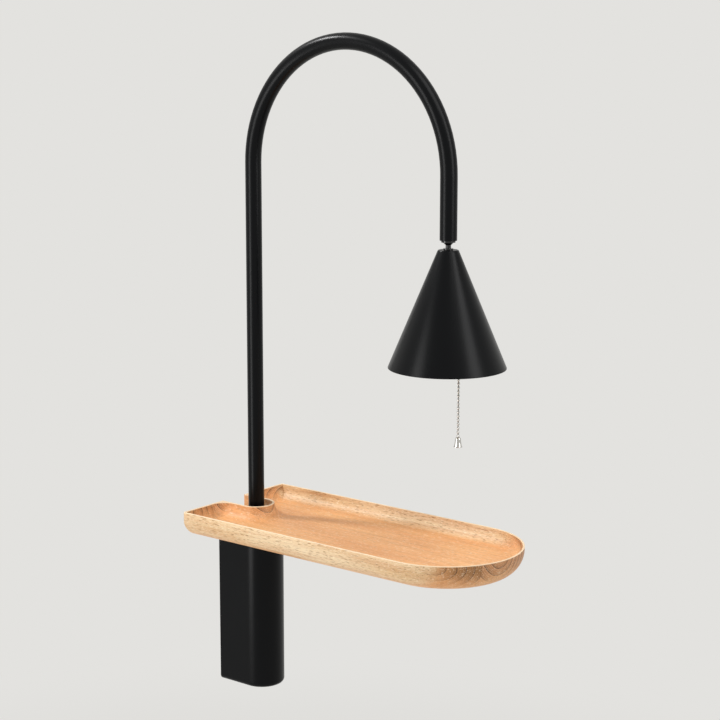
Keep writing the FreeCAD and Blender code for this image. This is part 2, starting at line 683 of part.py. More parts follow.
def tray_blank():
    """Solid board: a bowed side section run along both sides and turned round the free end."""
    half = TRAY_WIDTH / 2
    flat = half - TRAY_EDGE_RADIUS
    turn_z = housing_top + TRAY_EDGE_RADIUS
    bow = TRAY_EDGE_RADIUS * math.sqrt(0.5)
    right = ((flat + bow, turn_z - bow), (half, turn_z))
    left = ((-flat - bow, turn_z - bow), (-flat, housing_top))
    section = outline(upright(0), (-flat, housing_top), (flat, housing_top), right, (half, tray_rim),
                      (-half, tray_rim), (-half, turn_z), left)
    board = section.extrude(Vector(0, tray_end_y, 0))
    half_section = outline(upright(tray_end_y), (0, housing_top), (flat, housing_top), right,
                           (half, tray_rim), (0, tray_rim))
    end = half_section.revolve(Vector(0, tray_end_y, 0), Vector(0, 0, -1), 180)
    return board.fuse(end).removeSplitter()


def rear_rounding():
    """Plan outline that rounds the two corners at the wall end, as a tall prism."""
    half = TRAY_WIDTH / 2
    r = TRAY_CORNER_RADIUS
    k = r * (1 - math.sqrt(0.5))
    face = outline(level(housing_top - 1), (-half - 1, -TRAY_LENGTH - 1), (-half - 1, -r), (-half, -r),
                   ((-half + k, -k), (-half + r, 0)), (half - r, 0), ((half - k, -k), (half, -r)),
                   (half + 1, -r), (half + 1, -TRAY_LENGTH - 1))
    return face.extrude(Vector(0, 0, TRAY_THICKNESS + 2))


def coved(face, keep):
    """Prism from the dish's floor up past the rim, with a cove along the foot edges that pass keep."""
    cove = min(TRAY_COVE_RADIUS, TRAY_DISH_DEPTH - TRAY_RIM_ROUNDING - RUNNING_FIT)
    prism = face.extrude(Vector(0, 0, TRAY_DISH_DEPTH + 1))
    return prism.makeFillet(cove, edges_at(prism, tray_floor, keep))


def dish():
    """The hollow, where two coved forms overlap: one follows the rim round the sides and the free end, and
    one the wall end and the notch's collar. Their coves meet in mitred corners."""
    half = TRAY_WIDTH / 2 - TRAY_RIM_WIDTH
    collar = NOTCH_RADIUS + TRAY_COLLAR_WIDTH
    back = -TRAY_BACK_WIDTH
    wide = TRAY_WIDTH
    front = -TRAY_LENGTH - wide
    r = TRAY_POCKET_CORNER
    k = r * (1 - math.sqrt(0.5))
    along = outline(level(tray_floor), (-half, tray_end_y), (-half, wide), (half, wide), (half, tray_end_y),
                    ((0, tray_end_y - half), (-half, tray_end_y)))
    across = outline(level(tray_floor), (-wide, front), (-wide, back), (-collar - r, back),
                     ((-collar - k, back - k), (-collar, back - r)), (-collar, arm_y),
                     ((0, arm_y - collar), (collar, arm_y)), (collar, back - r),
                     ((collar + k, back - k), (collar + r, back)), (wide, back), (wide, front))
    sides = coved(along, lambda c: c.y < 0)
    return sides.common(coved(across, lambda c: abs(c.x) < wide - 1 and c.y > front + 1))


def notch():
    """The open slot from the wall end that lets the arm through, round about the arm's axis."""
    r = NOTCH_RADIUS
    face = outline(level(housing_top - 1), (-r, 1), (-r, arm_y), ((0, arm_y - r), (r, arm_y)), (r, 1))
    return face.extrude(Vector(0, 0, TRAY_THICKNESS + 2))


def tray():
    """The shelf, cut from one board: dished, with a collar round the notch for the arm."""
    board = tray_blank().common(rear_rounding()).cut(dish()).cut(notch())
    board = board.makeFillet(TRAY_RIM_ROUNDING, edges_at(board, tray_rim, lambda c: True))
    recess = bracket_outline(level(housing_top), LOOSE_FIT).extrude(Vector(0, 0, BRACKET_THICKNESS))
    tip = housing_top + TRAY_SCREW_LENGTH
    holes = [rod(WOOD_SCREW_RADIUS, x, y, bracket_top, tip) for x, y in tray_screw_places()]
    return board.cut([recess] + holes)


# ---------------------------------------------------------------- arm and its bearing
def arm_socket():
    """Flanged bush that is nutted into the bracket: the tube turns in its bore, on its inner shoulder."""
    top = bracket_top + SOCKET_FLANGE_HEIGHT
    edge = SOCKET_FLANGE_HEIGHT / 3
    body = turned(arm_y, (SPIGOT_RADIUS + RUNNING_FIT, socket_base), (socket_radius, socket_base),
                  (socket_radius, bracket_top), (socket_flange_radius, bracket_top),
                  (socket_flange_radius, top - edge), (socket_flange_radius - edge, top),
                  (socket_bore + edge, top), (socket_bore, top - edge), (socket_bore, shoulder_top),
                  (SPIGOT_RADIUS + RUNNING_FIT, shoulder_top))
    return body.cut(rod(STOP_PIN_RADIUS, 0, arm_y - stop_pin_ring, socket_base, shoulder_top))


def stop_pin():
    return rod(STOP_PIN_RADIUS, 0, arm_y - stop_pin_ring, spigot_nut_top, shoulder_top)


def socket_nut():
    return nut(SOCKET_NUT_FLATS, socket_radius, arm_y, housing_top - SOCKET_NUT_HEIGHT, housing_top)


def thrust_washer():
    return ring(socket_bore - RUNNING_FIT, SPIGOT_RADIUS + 2 * RUNNING_FIT, arm_y, shoulder_top, tube_start)


def spigot_flat_cut(base, top):
    return block(2 * SPIGOT_RADIUS, arm_y + SPIGOT_RADIUS, arm_y - SPIGOT_RADIUS, base, top,
                 spigot_flat + SPIGOT_RADIUS)


def arm_spigot():
    """Plug in the tube's foot: its stem runs through the socket's floor and is hollow for the lead."""
    top = tube_start + SPIGOT_GRIP
    plug = rod(tube_bore, 0, arm_y, tube_start, top)
    stem = rod(SPIGOT_RADIUS, 0, arm_y, spigot_base, tube_start)
    body = plug.fuse(stem).removeSplitter().cut(rod(SPIGOT_BORE_RADIUS, 0, arm_y, spigot_base, top))
    return body.cut(spigot_flat_cut(spigot_nut_top, stop_washer_top))


def stop_washer():
    """Washer keyed to the spigot's flat: its cut-away sector meets the stop pin at each end of the swing."""
    outer = socket_radius
    inner = stop_pin_ring - STOP_PIN_RADIUS - LOOSE_FIT
    half = math.radians(ARM_SWING + 1.0) + math.asin(STOP_PIN_RADIUS / stop_pin_ring)
    base = spigot_nut_top
    washer = rod(outer, 0, arm_y, base, stop_washer_top)
    first = (inner * math.sin(-half), arm_y - inner * math.cos(half))
    last = (inner * math.sin(half), arm_y - inner * math.cos(half))
    far = 2 * outer
    sector = outline(level(base), first, (far * math.sin(-half), arm_y - far * math.cos(half)),
                     ((0, arm_y - far), (far * math.sin(half), arm_y - far * math.cos(half))), last,
                     ((0, arm_y - inner), first))
    bore = rod(SPIGOT_RADIUS, 0, arm_y, base, stop_washer_top).cut(spigot_flat_cut(base, stop_washer_top))
    return washer.cut([sector.extrude(Vector(0, 0, STOP_WASHER_THICKNESS)), bore])


def spigot_nut():
    return nut(SPIGOT_NUT_FLATS, SPIGOT_RADIUS, arm_y, spigot_nut_top - SPIGOT_NUT_HEIGHT, spigot_nut_top)


def arm_path(start_z, end_z):
    """Edges along the arm's centre line: up, half round, and down."""
    up = Part.LineSegment(Vector(0, arm_y, start_z), Vector(0, arm_y, arch_z)).toShape()
    bend = Part.Arc(Vector(0, arm_y, arch_z), Vector(0, arch_y, arch_z + ARCH_RADIUS),
                    Vector(0, shade_y, arch_z)).toShape()
    down = Part.LineSegment(Vector(0, shade_y, arch_z), Vector(0, shade_y, end_z)).toShape()
    return [up, bend, down]


def arm_tube():
    """Steel tube bent in one half circle."""
    path = arm_path(tube_start, tube_end)
    start = Vector(0, arm_y, tube_start)
    outside = swept(tube_radius, path, start, Vector(0, 0, 1))
    inside = swept(tube_bore, path, start, Vector(0, 0, 1))
    hole = Part.makeCylinder(GRUB_RADIUS, TUBE_DIAMETER, Vector(0, shade_y, grub_z), Vector(0, 1, 0))
    return outside.cut(inside).cut(hole)


def arm_lead():
    """Lead through the whole arm, from the spigot's foot to the swivel's plug."""
    start = Vector(0, arm_y, spigot_base)
    path = arm_path(spigot_base, plug_base + CUP_PLUG_LENGTH + LOOSE_FIT)
    return swept(OUTPUT_LEAD_RADIUS, path, start, Vector(0, 0, 1))


# ---------------------------------------------------------------- ball swivel
def swivel_cup():
    """Turned cup in the tube's end: its lower lip holds the ball, and a groove takes the grub screw."""
    lip_z = tube_end - CUP_LIP
    below = ball_z - lip_z
    lip_radius = math.sqrt(seat_radius ** 2 - below ** 2)
    half = below / 2
    bow = (math.sqrt(seat_radius ** 2 - half ** 2), ball_z - half)
    cup = turned(shade_y, (lip_radius, lip_z), (cup_radius, lip_z), (cup_radius, cup_top),
                 (seat_radius, cup_top), (seat_radius, ball_z), (bow, (lip_radius, lip_z)))
    groove_half = GRUB_RADIUS + RUNNING_FIT
    floor_radius = cup_radius - CUP_GROOVE_DEPTH
    turn = 2 * (SHADE_SPIN + 1.0) + 2 * math.degrees(math.asin(GRUB_RADIUS / floor_radius))
    low = grub_z - groove_half
    high = grub_z + groove_half
    face = outline(upright(shade_y), (floor_radius, low), (tube_radius, low), (tube_radius, high),
                   (floor_radius, high))
    groove = face.revolve(Vector(0, shade_y, 0), Vector(0, 0, 1), turn)
    groove.rotate(Vector(0, shade_y, 0), Vector(0, 0, 1), 90 - turn / 2)
    return cup.cut(groove)


def swivel_grub_screw():
    """Grub screw in the tube's wall, on the side that faces the wall of the room."""
    tip = cup_radius - CUP_GROOVE_DEPTH + RUNNING_FIT
    length = tube_radius - GRUB_DROP - tip
    outward = Vector(0, 1, 0)
    end = Vector(0, shade_y + tip + length - GRUB_SOCKET_DEPTH, grub_z)
    screw = Part.makeCylinder(GRUB_RADIUS, length, Vector(0, shade_y + tip, grub_z), outward)
    return screw.cut(Part.makeCylinder(GRUB_RADIUS / 2, GRUB_SOCKET_DEPTH, end, outward))


def ball_seat_ring():
    """Nylon ring whose hollowed underside presses on the ball."""
    edge_z = seat_ring_base
    edge_radius = math.sqrt(seat_radius ** 2 - (edge_z - ball_z) ** 2)
    bore = swivel_bore
    inner_z = ball_z + math.sqrt(seat_radius ** 2 - bore ** 2)
    mid_radius = (edge_radius + bore) / 2
    mid_z = ball_z + math.sqrt(seat_radius ** 2 - mid_radius ** 2)
    return turned(shade_y, (edge_radius, edge_z), (seat_radius - RUNNING_FIT, edge_z),
                  (seat_radius - RUNNING_FIT, plug_base), (bore, plug_base), (bore, inner_z),
                  ((mid_radius, mid_z), (edge_radius, edge_z)))


def cup_plug():
    """Screwed plug that loads the seat ring, with a screwdriver slot and a hole for the lead."""
    top = plug_base + CUP_PLUG_LENGTH
    plug = ring(seat_radius, swivel_bore, shade_y, plug_base, top)
    half = PLUG_SLOT / 2
    return plug.cut(block(2 * seat_radius, shade_y + half, shade_y - half, top - PLUG_SLOT, top))


def swivel_ball():
    """Ball and stem in one: the shade is clamped between the stem's flange and its nut."""
    flange_base = shade_top
    flange_top = flange_base + STEM_FLANGE_HEIGHT
    thread_base = flange_base - STEM_THREAD_LENGTH
    neck_z = ball_z - math.sqrt(BALL_RADIUS ** 2 - STEM_RADIUS ** 2)
    crown_z = ball_z + math.sqrt(BALL_RADIUS ** 2 - STEM_BORE_RADIUS ** 2)
    return turned(shade_y, (STEM_BORE_RADIUS, thread_base), (STEM_THREAD_RADIUS, thread_base),
                  (STEM_THREAD_RADIUS, flange_base), (STEM_FLANGE_RADIUS, flange_base),
                  (STEM_FLANGE_RADIUS, flange_top), (STEM_RADIUS, flange_top), (STEM_RADIUS, neck_z),
                  ((BALL_RADIUS, ball_z), (STEM_BORE_RADIUS, crown_z)))


# ---------------------------------------------------------------- shade and light unit
def shade():
    """Spun aluminium cone with a flat top, a rounded shoulder and a folded hem."""
    r = SHADE_TOP_ROUNDING
    shoulder_z = shade_top - r
    shoulder_radius = shade_radius - cone_slope * (shoulder_z - shade_rim)
    crown_radius = shoulder_radius - r
    bow = r * math.sqrt(0.5)
    hem_top = shade_rim + SHADE_HEM_HEIGHT
    hem_inner = shade_radius - SHADE_HEM_THICKNESS
    return turned(shade_y, (hem_inner, shade_rim), (shade_radius, shade_rim), (shoulder_radius, shoulder_z),
                  ((crown_radius + bow, shoulder_z + bow), (crown_radius, shade_top)),
                  (STEM_THREAD_RADIUS, shade_top), (STEM_THREAD_RADIUS, ceiling),
                  (cone_inside(ceiling), ceiling), (cone_inside(hem_top), hem_top),
                  (hem_inner, hem_top - LOOSE_FIT))


def strap_screw_x():
    return strap_reach(carrier_top + STRAP_THICKNESS) - STRAP_FOOT / 2


def strap_reach(z):
    """Half the strap's spread at height z, where its corners clear the cone by the loose fit."""
    return math.sqrt(cone_inside(z, LOOSE_FIT) ** 2 - (STRAP_WIDTH / 2) ** 2)


def hanger_strap():
    """Bent steel strap: clamped under the shade's top, it carries the light unit on its two feet."""
    t = STRAP_THICKNESS
    foot_top = carrier_top + t
    crown = strap_reach(ceiling)
    leg = strap_reach(foot_top)
    lean = (leg - crown) / (ceiling - foot_top)
    side_t = t * math.hypot(1.0, lean)
    points = [(crown, ceiling), (leg, foot_top), (leg, carrier_top), (leg - STRAP_FOOT, carrier_top),
              (leg - STRAP_FOOT, foot_top), (leg - side_t, foot_top), (crown + lean * t - side_t, strap_base)]
    mirrored = [(-x, z) for x, z in reversed(points)]
    face = outline(upright(shade_y + STRAP_WIDTH / 2), *(points + mirrored))
    strap = face.extrude(Vector(0, -STRAP_WIDTH, 0))
    cuts = [rod(STEM_THREAD_RADIUS, 0, shade_y, strap_base, ceiling)]
    for side in (-1, 1):
        cuts.append(rod(SMALL_SCREW_RADIUS, side * strap_screw_x(), shade_y, carrier_top, foot_top))
    return strap.cut(cuts)


def shade_nut():
    """Nut under the strap's crown, with two flats square to X beside the strap's legs."""
    return nut(SHADE_NUT_FLATS, STEM_THREAD_RADIUS, shade_y, strap_base - SHADE_NUT_HEIGHT, strap_base, 30)


def board_screw_places():
    x = BOARD_SCREW_RING * math.cos(math.radians(BOARD_SCREW_ANGLE))
    y = shade_y + BOARD_SCREW_RING * math.sin(math.radians(BOARD_SCREW_ANGLE))
    return [(x, y), (-x, y)]


def led_carrier():
    """Aluminium disc that fits the cone's wall and draws off the heat."""
    disc = turned(shade_y, (0, carrier_z), (cone_inside(carrier_z, CARRIER_FIT), carrier_z),
                  (cone_inside(carrier_top, CARRIER_FIT), carrier_top), (0, carrier_top))
    cuts = [rod(SWITCH_NECK_RADIUS, 0, chain_y, carrier_z, carrier_top)]
    cuts.append(rod(2 * SHADE_LEAD_RADIUS, 0, shade_y + CHAIN_OFFSET, carrier_z, carrier_top))
    for side in (-1, 1):
        x = side * strap_screw_x()
        cuts.append(rod(SMALL_SCREW_RADIUS, x, shade_y, carrier_z, carrier_top))
        cuts.append(sink(SMALL_SCREW_RADIUS, x, shade_y, carrier_z, 1))
    for x, y in board_screw_places():
        cuts.append(rod(SMALL_SCREW_RADIUS, x, y, carrier_z, carrier_top))
    return disc.cut(cuts)


def carrier_screws():
    tip = carrier_top + STRAP_THICKNESS + CARRIER_SCREW_SPARE
    return group([countersunk(SMALL_SCREW_RADIUS, side * strap_screw_x(), shade_y, carrier_z, tip)
                  for side in (-1, 1)])


def led_board():
    """Round aluminium circuit board, open round the switch's nut."""
    board = rod(BOARD_RADIUS, 0, shade_y, board_z, carrier_z)
    cuts = [rod(BOARD_OPENING_RADIUS, 0, chain_y, board_z, carrier_z)]
    cuts.append(rod(2 * SHADE_LEAD_RADIUS, 0, shade_y + CHAIN_OFFSET, board_z, carrier_z))
    cuts += [rod(SMALL_SCREW_RADIUS, x, y, board_z, carrier_z) for x, y in board_screw_places()]
    return board.cut(cuts)


def board_screws():
    screws = []
    for x, y in board_screw_places():
        head = rod(SMALL_SCREW_RADIUS * HEAD_RATIO, x, y, board_z - BOARD_SCREW_HEAD, board_z)
        screws.append(head.fuse(rod(SMALL_SCREW_RADIUS, x, y, board_z, carrier_top)).removeSplitter())
    return group(screws)


def led_chips():
    """The light-emitting packages, in a ring on the board's underside that leaves out the switch."""
    chips = []
    for i in range(CHIP_COUNT):
        angle = 360.0 * i / CHIP_COUNT
        if abs(angle - 270.0) < 180.0 / CHIP_COUNT:
            continue
        chip = Part.makeBox(CHIP_LENGTH, CHIP_WIDTH, CHIP_THICKNESS)
        corner_x = CHIP_RING_RADIUS - CHIP_LENGTH / 2
        chip.translate(Vector(corner_x, shade_y - CHIP_WIDTH / 2, board_z - CHIP_THICKNESS))
        chip.rotate(Vector(0, shade_y, 0), Vector(0, 0, 1), angle)
        chips.append(chip)
    return group(chips)


def diffuser():
    """Opal cup under the light sources: its skirt fits the cone and reaches up to the carrier."""
    t = DIFFUSER_THICKNESS
    top = carrier_z
    gap = LOOSE_FIT
    outer_low = cone_inside(diffuser_z, gap)
    outer_high = cone_inside(top, gap)
    bevel_z = diffuser_z + DIFFUSER_BEVEL
    cup = turned(shade_y, (0, diffuser_z), (outer_low - DIFFUSER_BEVEL, diffuser_z),
                 (cone_inside(bevel_z, gap), bevel_z), (outer_high, top), (outer_high - t, top),
                 (cone_inside(diffuser_z + t, gap) - t, diffuser_z + t), (0, diffuser_z + t))
    return cup.cut(rod(eyelet_bore + EYELET_WALL, 0, chain_y, diffuser_z, diffuser_z + t))


def chain_eyelet():
    """Flanged eyelet in the diffuser that guides the chain."""
    top = diffuser_z + DIFFUSER_THICKNESS
    return turned(chain_y, (eyelet_bore, eyelet_base), (EYELET_FLANGE_RADIUS, eyelet_base),
                  (EYELET_FLANGE_RADIUS, diffuser_z), (eyelet_bore + EYELET_WALL, diffuser_z),
                  (eyelet_bore + EYELET_WALL, top), (eyelet_bore, top))


# ---------------------------------------------------------------- pull switch and chain
def pull_switch():
    """Switch body with a threaded neck through the carrier, bored for the plunger."""
    top = switch_base + SWITCH_HEIGHT
    neck_base = switch_base - SWITCH_NECK_LENGTH
    case = block(SWITCH_WIDTH, chain_y + SWITCH_DEPTH / 2, chain_y - SWITCH_DEPTH / 2, switch_base, top)
    case = case.makeFillet(SWITCH_EDGE_RADIUS, long_upright_edges(case, SWITCH_HEIGHT))
    body = case.fuse(rod(SWITCH_NECK_RADIUS, 0, chain_y, neck_base, switch_base)).removeSplitter()
    bore = rod(neck_bore, 0, chain_y, neck_base, chamber_base)
    return body.cut([bore, rod(chamber_radius, 0, chain_y, chamber_base, chamber_top)])


def switch_nut():
    return nut(SWITCH_NUT_FLATS, SWITCH_NECK_RADIUS, chain_y, carrier_z - SWITCH_NUT_HEIGHT, carrier_z)


def switch_plunger():
    """Plunger: its head sits at the chamber's top, it drops by the travel, and its foot carries the chain."""
    r = PLUNGER_RADIUS
    bow = r * math.sqrt(0.5)
    foot = plunger_base
    return turned(chain_y, (0, foot), ((bow, foot + r - bow), (r, foot + r)), (r, head_base),
                  (PLUNGER_HEAD_RADIUS, head_base), (PLUNGER_HEAD_RADIUS, head_top), (0, head_top))


def pull_chain():
    """Bead chain: a row of balls on short links, turned as one profile."""
    reach = math.sqrt(BEAD_RADIUS ** 2 - LINK_RADIUS ** 2)
    steps = []
    for i in range(BEAD_COUNT):
        z = first_bead_z - i * BEAD_PITCH
        if i > 0:
            steps.append((LINK_RADIUS, z + reach))
        steps.append(((BEAD_RADIUS, z), (LINK_RADIUS, z - reach)))
    steps.append((LINK_RADIUS, bell_top))
    steps.append((0, bell_top))
    return turned(chain_y, (0, first_bead_z + BEAD_RADIUS), *steps)


def bell_pull():
    """Small bell at the chain's end: domed crown, flared side, turned-out lip, hollow underneath."""
    base = bell_top - BELL_HEIGHT
    shoulder_z = bell_top - BELL_SHOULDER_DROP
    lip_z = base + BELL_LIP_HEIGHT
    waist = BELL_RADIUS - BELL_LIP_FLARE
    bow = math.sqrt(0.5)
    dome = (BELL_CROWN_RADIUS + (BELL_SHOULDER_RADIUS - BELL_CROWN_RADIUS) * bow,
            shoulder_z + BELL_SHOULDER_DROP * bow)
    lip = (BELL_RADIUS - BELL_LIP_FLARE * bow, base + BELL_LIP_HEIGHT * (1 - bow))
    hollow_top = base + BELL_HOLLOW
    return turned(chain_y, (0, bell_top), (BELL_CROWN_RADIUS, bell_top),
                  (dome, (BELL_SHOULDER_RADIUS, shoulder_z)), (waist, lip_z), (lip, (BELL_RADIUS, base)),
                  (BELL_RADIUS - BELL_WALL, base), (BELL_SHOULDER_RADIUS - BELL_WALL, hollow_top),
                  (0, hollow_top))


def shade_lead():
    """Lead from the stem's bore to the pull switch: down, then over in an S to the switch's top."""
    switch_top = switch_base + SWITCH_HEIGHT
    start = Vector(0, shade_y, ball_z)
    end = Vector(0, chain_y + SWITCH_DEPTH / 4, switch_top)
    shift = start.y - end.y
    bend_top = strap_base - SHADE_NUT_HEIGHT - LEAD_STRAIGHT
    bend_base = switch_top + LEAD_STRAIGHT
    rise = bend_top - bend_base
    half_angle = math.atan2(shift, rise)
    radius = shift / 2 / (1 - math.cos(2 * half_angle))
    dy = radius * (1 - math.cos(half_angle))
    dz = radius * math.sin(half_angle)
    first = Vector(0, shade_y, bend_top)
    middle = Vector(0, (start.y + end.y) / 2, (bend_top + bend_base) / 2)
    last = Vector(0, end.y, bend_base)
    path = [Part.LineSegment(start, first).toShape(),
            Part.Arc(first, first + Vector(0, -dy, -dz), middle).toShape(),
            Part.Arc(middle, last + Vector(0, dy, dz), last).toShape(),
            Part.LineSegment(last, end).toShape()]
    print("shade lead bends at radius", round(radius, 1))
    return swept(SHADE_LEAD_RADIUS, path, start, Vector(0, 0, -1))


# ---------------------------------------------------------------- one file for each node
NODES = [housing_shell, wall_plate, housing_screw, cable_grommet, terminal_block, terminal_clamps,
         terminal_screws, earth_screw, led_driver, driver_screws, driver_input_lead, driver_output_lead,
         tray_bracket, bracket_screws, tray, tray_screws, arm_socket, stop_pin, socket_nut, thrust_washer,
         arm_spigot, stop_washer, spigot_nut, arm_tube, arm_lead, swivel_grub_screw, swivel_cup,
         ball_seat_ring, cup_plug, swivel_ball, shade, hanger_strap, shade_nut, led_carrier, carrier_screws,
         led_board, board_screws, led_chips, diffuser, chain_eyelet, pull_switch, switch_nut, shade_lead,
         switch_plunger, pull_chain, bell_pull]

os.makedirs("parts", exist_ok=True)
for make in NODES:
    solid = make()
    if not solid.isValid():
        print("not valid:", make.__name__)
    solid.exportStep("parts/" + make.__name__ + ".step")
    print(make.__name__, len(solid.Solids), round(solid.Volume, 1))
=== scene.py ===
import math

import bmesh
import bpy
import numpy as np
from mathutils import Matrix, Vector


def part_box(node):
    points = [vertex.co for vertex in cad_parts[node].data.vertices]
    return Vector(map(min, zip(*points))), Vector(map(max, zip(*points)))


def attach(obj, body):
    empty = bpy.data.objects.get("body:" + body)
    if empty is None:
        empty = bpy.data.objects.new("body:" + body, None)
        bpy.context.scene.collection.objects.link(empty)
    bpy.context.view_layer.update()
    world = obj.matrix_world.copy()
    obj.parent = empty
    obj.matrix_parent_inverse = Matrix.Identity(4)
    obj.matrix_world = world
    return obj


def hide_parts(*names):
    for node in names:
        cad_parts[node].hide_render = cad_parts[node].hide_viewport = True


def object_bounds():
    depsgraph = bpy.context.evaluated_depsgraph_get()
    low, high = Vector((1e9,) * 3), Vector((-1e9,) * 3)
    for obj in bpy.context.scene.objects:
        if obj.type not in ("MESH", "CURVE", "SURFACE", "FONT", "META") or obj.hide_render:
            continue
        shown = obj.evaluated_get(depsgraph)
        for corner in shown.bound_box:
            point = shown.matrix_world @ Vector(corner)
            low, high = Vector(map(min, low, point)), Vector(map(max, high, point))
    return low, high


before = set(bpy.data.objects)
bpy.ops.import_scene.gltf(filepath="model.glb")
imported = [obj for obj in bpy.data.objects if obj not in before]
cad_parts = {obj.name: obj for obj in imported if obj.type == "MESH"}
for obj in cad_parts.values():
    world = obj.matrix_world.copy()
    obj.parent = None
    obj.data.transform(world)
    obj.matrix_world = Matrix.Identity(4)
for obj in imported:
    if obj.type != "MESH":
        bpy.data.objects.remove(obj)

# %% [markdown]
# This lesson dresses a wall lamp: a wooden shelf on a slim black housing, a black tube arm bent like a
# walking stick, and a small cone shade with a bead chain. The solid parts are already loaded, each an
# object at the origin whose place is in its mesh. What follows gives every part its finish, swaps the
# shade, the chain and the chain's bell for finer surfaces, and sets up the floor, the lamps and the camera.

MM = 0.001
cad_low, cad_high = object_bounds()
print("the lamp reaches from", [round(c, 4) for c in cad_low], "to", [round(c, 4) for c in cad_high])

# %% [markdown]
# ## Places
# The solid parts say where everything is, so no place is typed twice. A box round a part gives its lowest
# and highest corners. Four boxes give the shelf's edges, the axis of the shade and the axis of the chain.

# %% Places read from the solid parts
box = {name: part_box(name) for name in ("tray", "shade", "pull_chain", "bell_pull")}


def middle(name):
    """The middle of a part's box."""
    low, high = box[name]
    return (low + high) / 2


shade_y = middle("shade").y
chain_y = middle("bell_pull").y
shelf_end = box["tray"][0].y
shelf_side = box["tray"][1].x
shelf_top = box["tray"][1].z
print("shade axis y", round(shade_y, 4), "chain axis y", round(chain_y, 4))
print("shelf top z", round(shelf_top, 4))

# %% [markdown]
# ## How a finish is made
# A finish is a small network of nodes that ends in one shader. One function adds a node, gives its sockets
# their values and joins it to others, so each finish below reads as a list of what it is made from. Colours
# are written as on a paint card, in sRGB hex, and turned to the linear values that the shader needs.

# %% Colours and nodes
FACTOR, VECTOR_A, VECTOR_B, COLOUR_A, COLOUR_B = 0, 4, 5, 6, 7      # a Mix node's inputs
MIXED_VECTOR, MIXED_COLOUR = 1, 2                                   # and its outputs


def linear(hex_colour):
    """Linear red, green, blue and alpha of an sRGB hex colour: each channel is raised by the sRGB curve."""
    channels = np.array([int(hex_colour[i:i + 2], 16) for i in (1, 3, 5)]) / 255
    curved = np.where(channels <= 0.04045, channels / 12.92, ((channels + 0.055) / 1.055) ** 2.4)
    return (*curved.tolist(), 1.0)


def add(tree, kind, values=None, links=None, **settings):
    """Adds one node: settings are its own properties, values fill its sockets, and links feed them."""
    made = tree.nodes.new("ShaderNode" + kind)
    for name, value in settings.items():
        setattr(made, name, value)
    for socket, value in (values or {}).items():
        made.inputs[socket].default_value = value
    for socket, source in (links or {}).items():
        tree.links.new(source, made.inputs[socket])
    return made


def finish_named(name, values):
    """A new material with one shader. Returns the material, its tree and the shader."""
    material = bpy.data.materials.new(name)
    material.use_nodes = True
    tree = material.node_tree
    shader = tree.nodes["Principled BSDF"]
    for socket, value in values.items():
        shader.inputs[socket].default_value = value
    return material, tree, shader


def position(tree, scale=(1, 1, 1), turn=(0, 0, 0)):
    """Object coordinates in metres, stretched by scale and turned."""
    place = add(tree, "TexCoord").outputs["Object"]
    return add(tree, "Mapping", {"Scale": scale, "Rotation": turn}, {"Vector": place}).outputs[0]


# %% [markdown]
# ## Satin black powder coat
# The arm, the shade and the housing are steel and aluminium sprayed with matting black powder and baked.
# The powder melts into a skin with a very fine waviness, like orange peel, which spreads a lamp's
# reflection into a soft band. Its matting agent also weakens the reflection, so the specular level is low,
# and the black stays deep beside a pale room. The skin is a shade less rough where hands have polished it.
# The swivel's cup and ball are dipped in a harder gloss lacquer, which shows small sharp highlights at the
# neck.

# %% Powder coat
PEEL_SPACING = 1.1 * MM
PEEL_DEPTH = 0.004 * MM
WEAR_SPACING = 40 * MM
WEAR = 0.03             # how far the roughness drifts either way


def powder_coat(name, colour, roughness, gloss):
    """A sprayed and baked coat. Gloss is how strongly it reflects what it faces."""
    material, tree, shader = finish_named(name, {"Base Color": linear(colour), "Specular IOR Level": gloss})
    place = position(tree)
    peel = add(tree, "TexNoise", {"Scale": 1 / PEEL_SPACING, "Detail": 1.0, "Roughness": 0.4},
               {"Vector": place})
    wear = add(tree, "TexNoise", {"Scale": 1 / WEAR_SPACING, "Detail": 2.0}, {"Vector": place})
    tone = add(tree, "MapRange", {"To Min": roughness - WEAR, "To Max": roughness + WEAR},
               {"Value": wear.outputs[0]})
    bump = add(tree, "Bump", {"Strength": 0.5, "Distance": PEEL_DEPTH}, {"Height": peel.outputs[0]})
    tree.links.new(tone.outputs[0], shader.inputs["Roughness"])
    tree.links.new(bump.outputs[0], shader.inputs["Normal"])
    return material


black_coat = powder_coat("satin_black_powder_coat", "#030406", 0.30, 0.13)
black_lacquer = powder_coat("gloss_black_lacquer", "#060607", 0.10, 0.50)
print("powder coat: waves", PEEL_SPACING / MM, "mm apart")

# %% [markdown]
# ## Oiled rubberwood
# The shelf is milled from a board of rubberwood, a pale plantation timber, glued up from three staves and
# oiled. Three things make it read as wood. Each stave has year rings round a heart of its own, so the
# rounded end shows arcs that meet at the glue line, and the dish shows long faint stripes. The pores are
# short dark dashes along the grain. End grain soaks up more oil, so it is darker and redder than the sides,
# most of all at the free end. A pale strip along both long sides is sapwood and also painted light, which
# stands in for the light on the outer sides. A paler line along the thin rim's top is a painted highlight.
# All of it is worked out in space, not painted on a face, so the figure runs through the board and meets
# itself at every edge.

# %% Rubberwood: sizes
GLUE_LINES = (-29 * MM, 31 * MM)
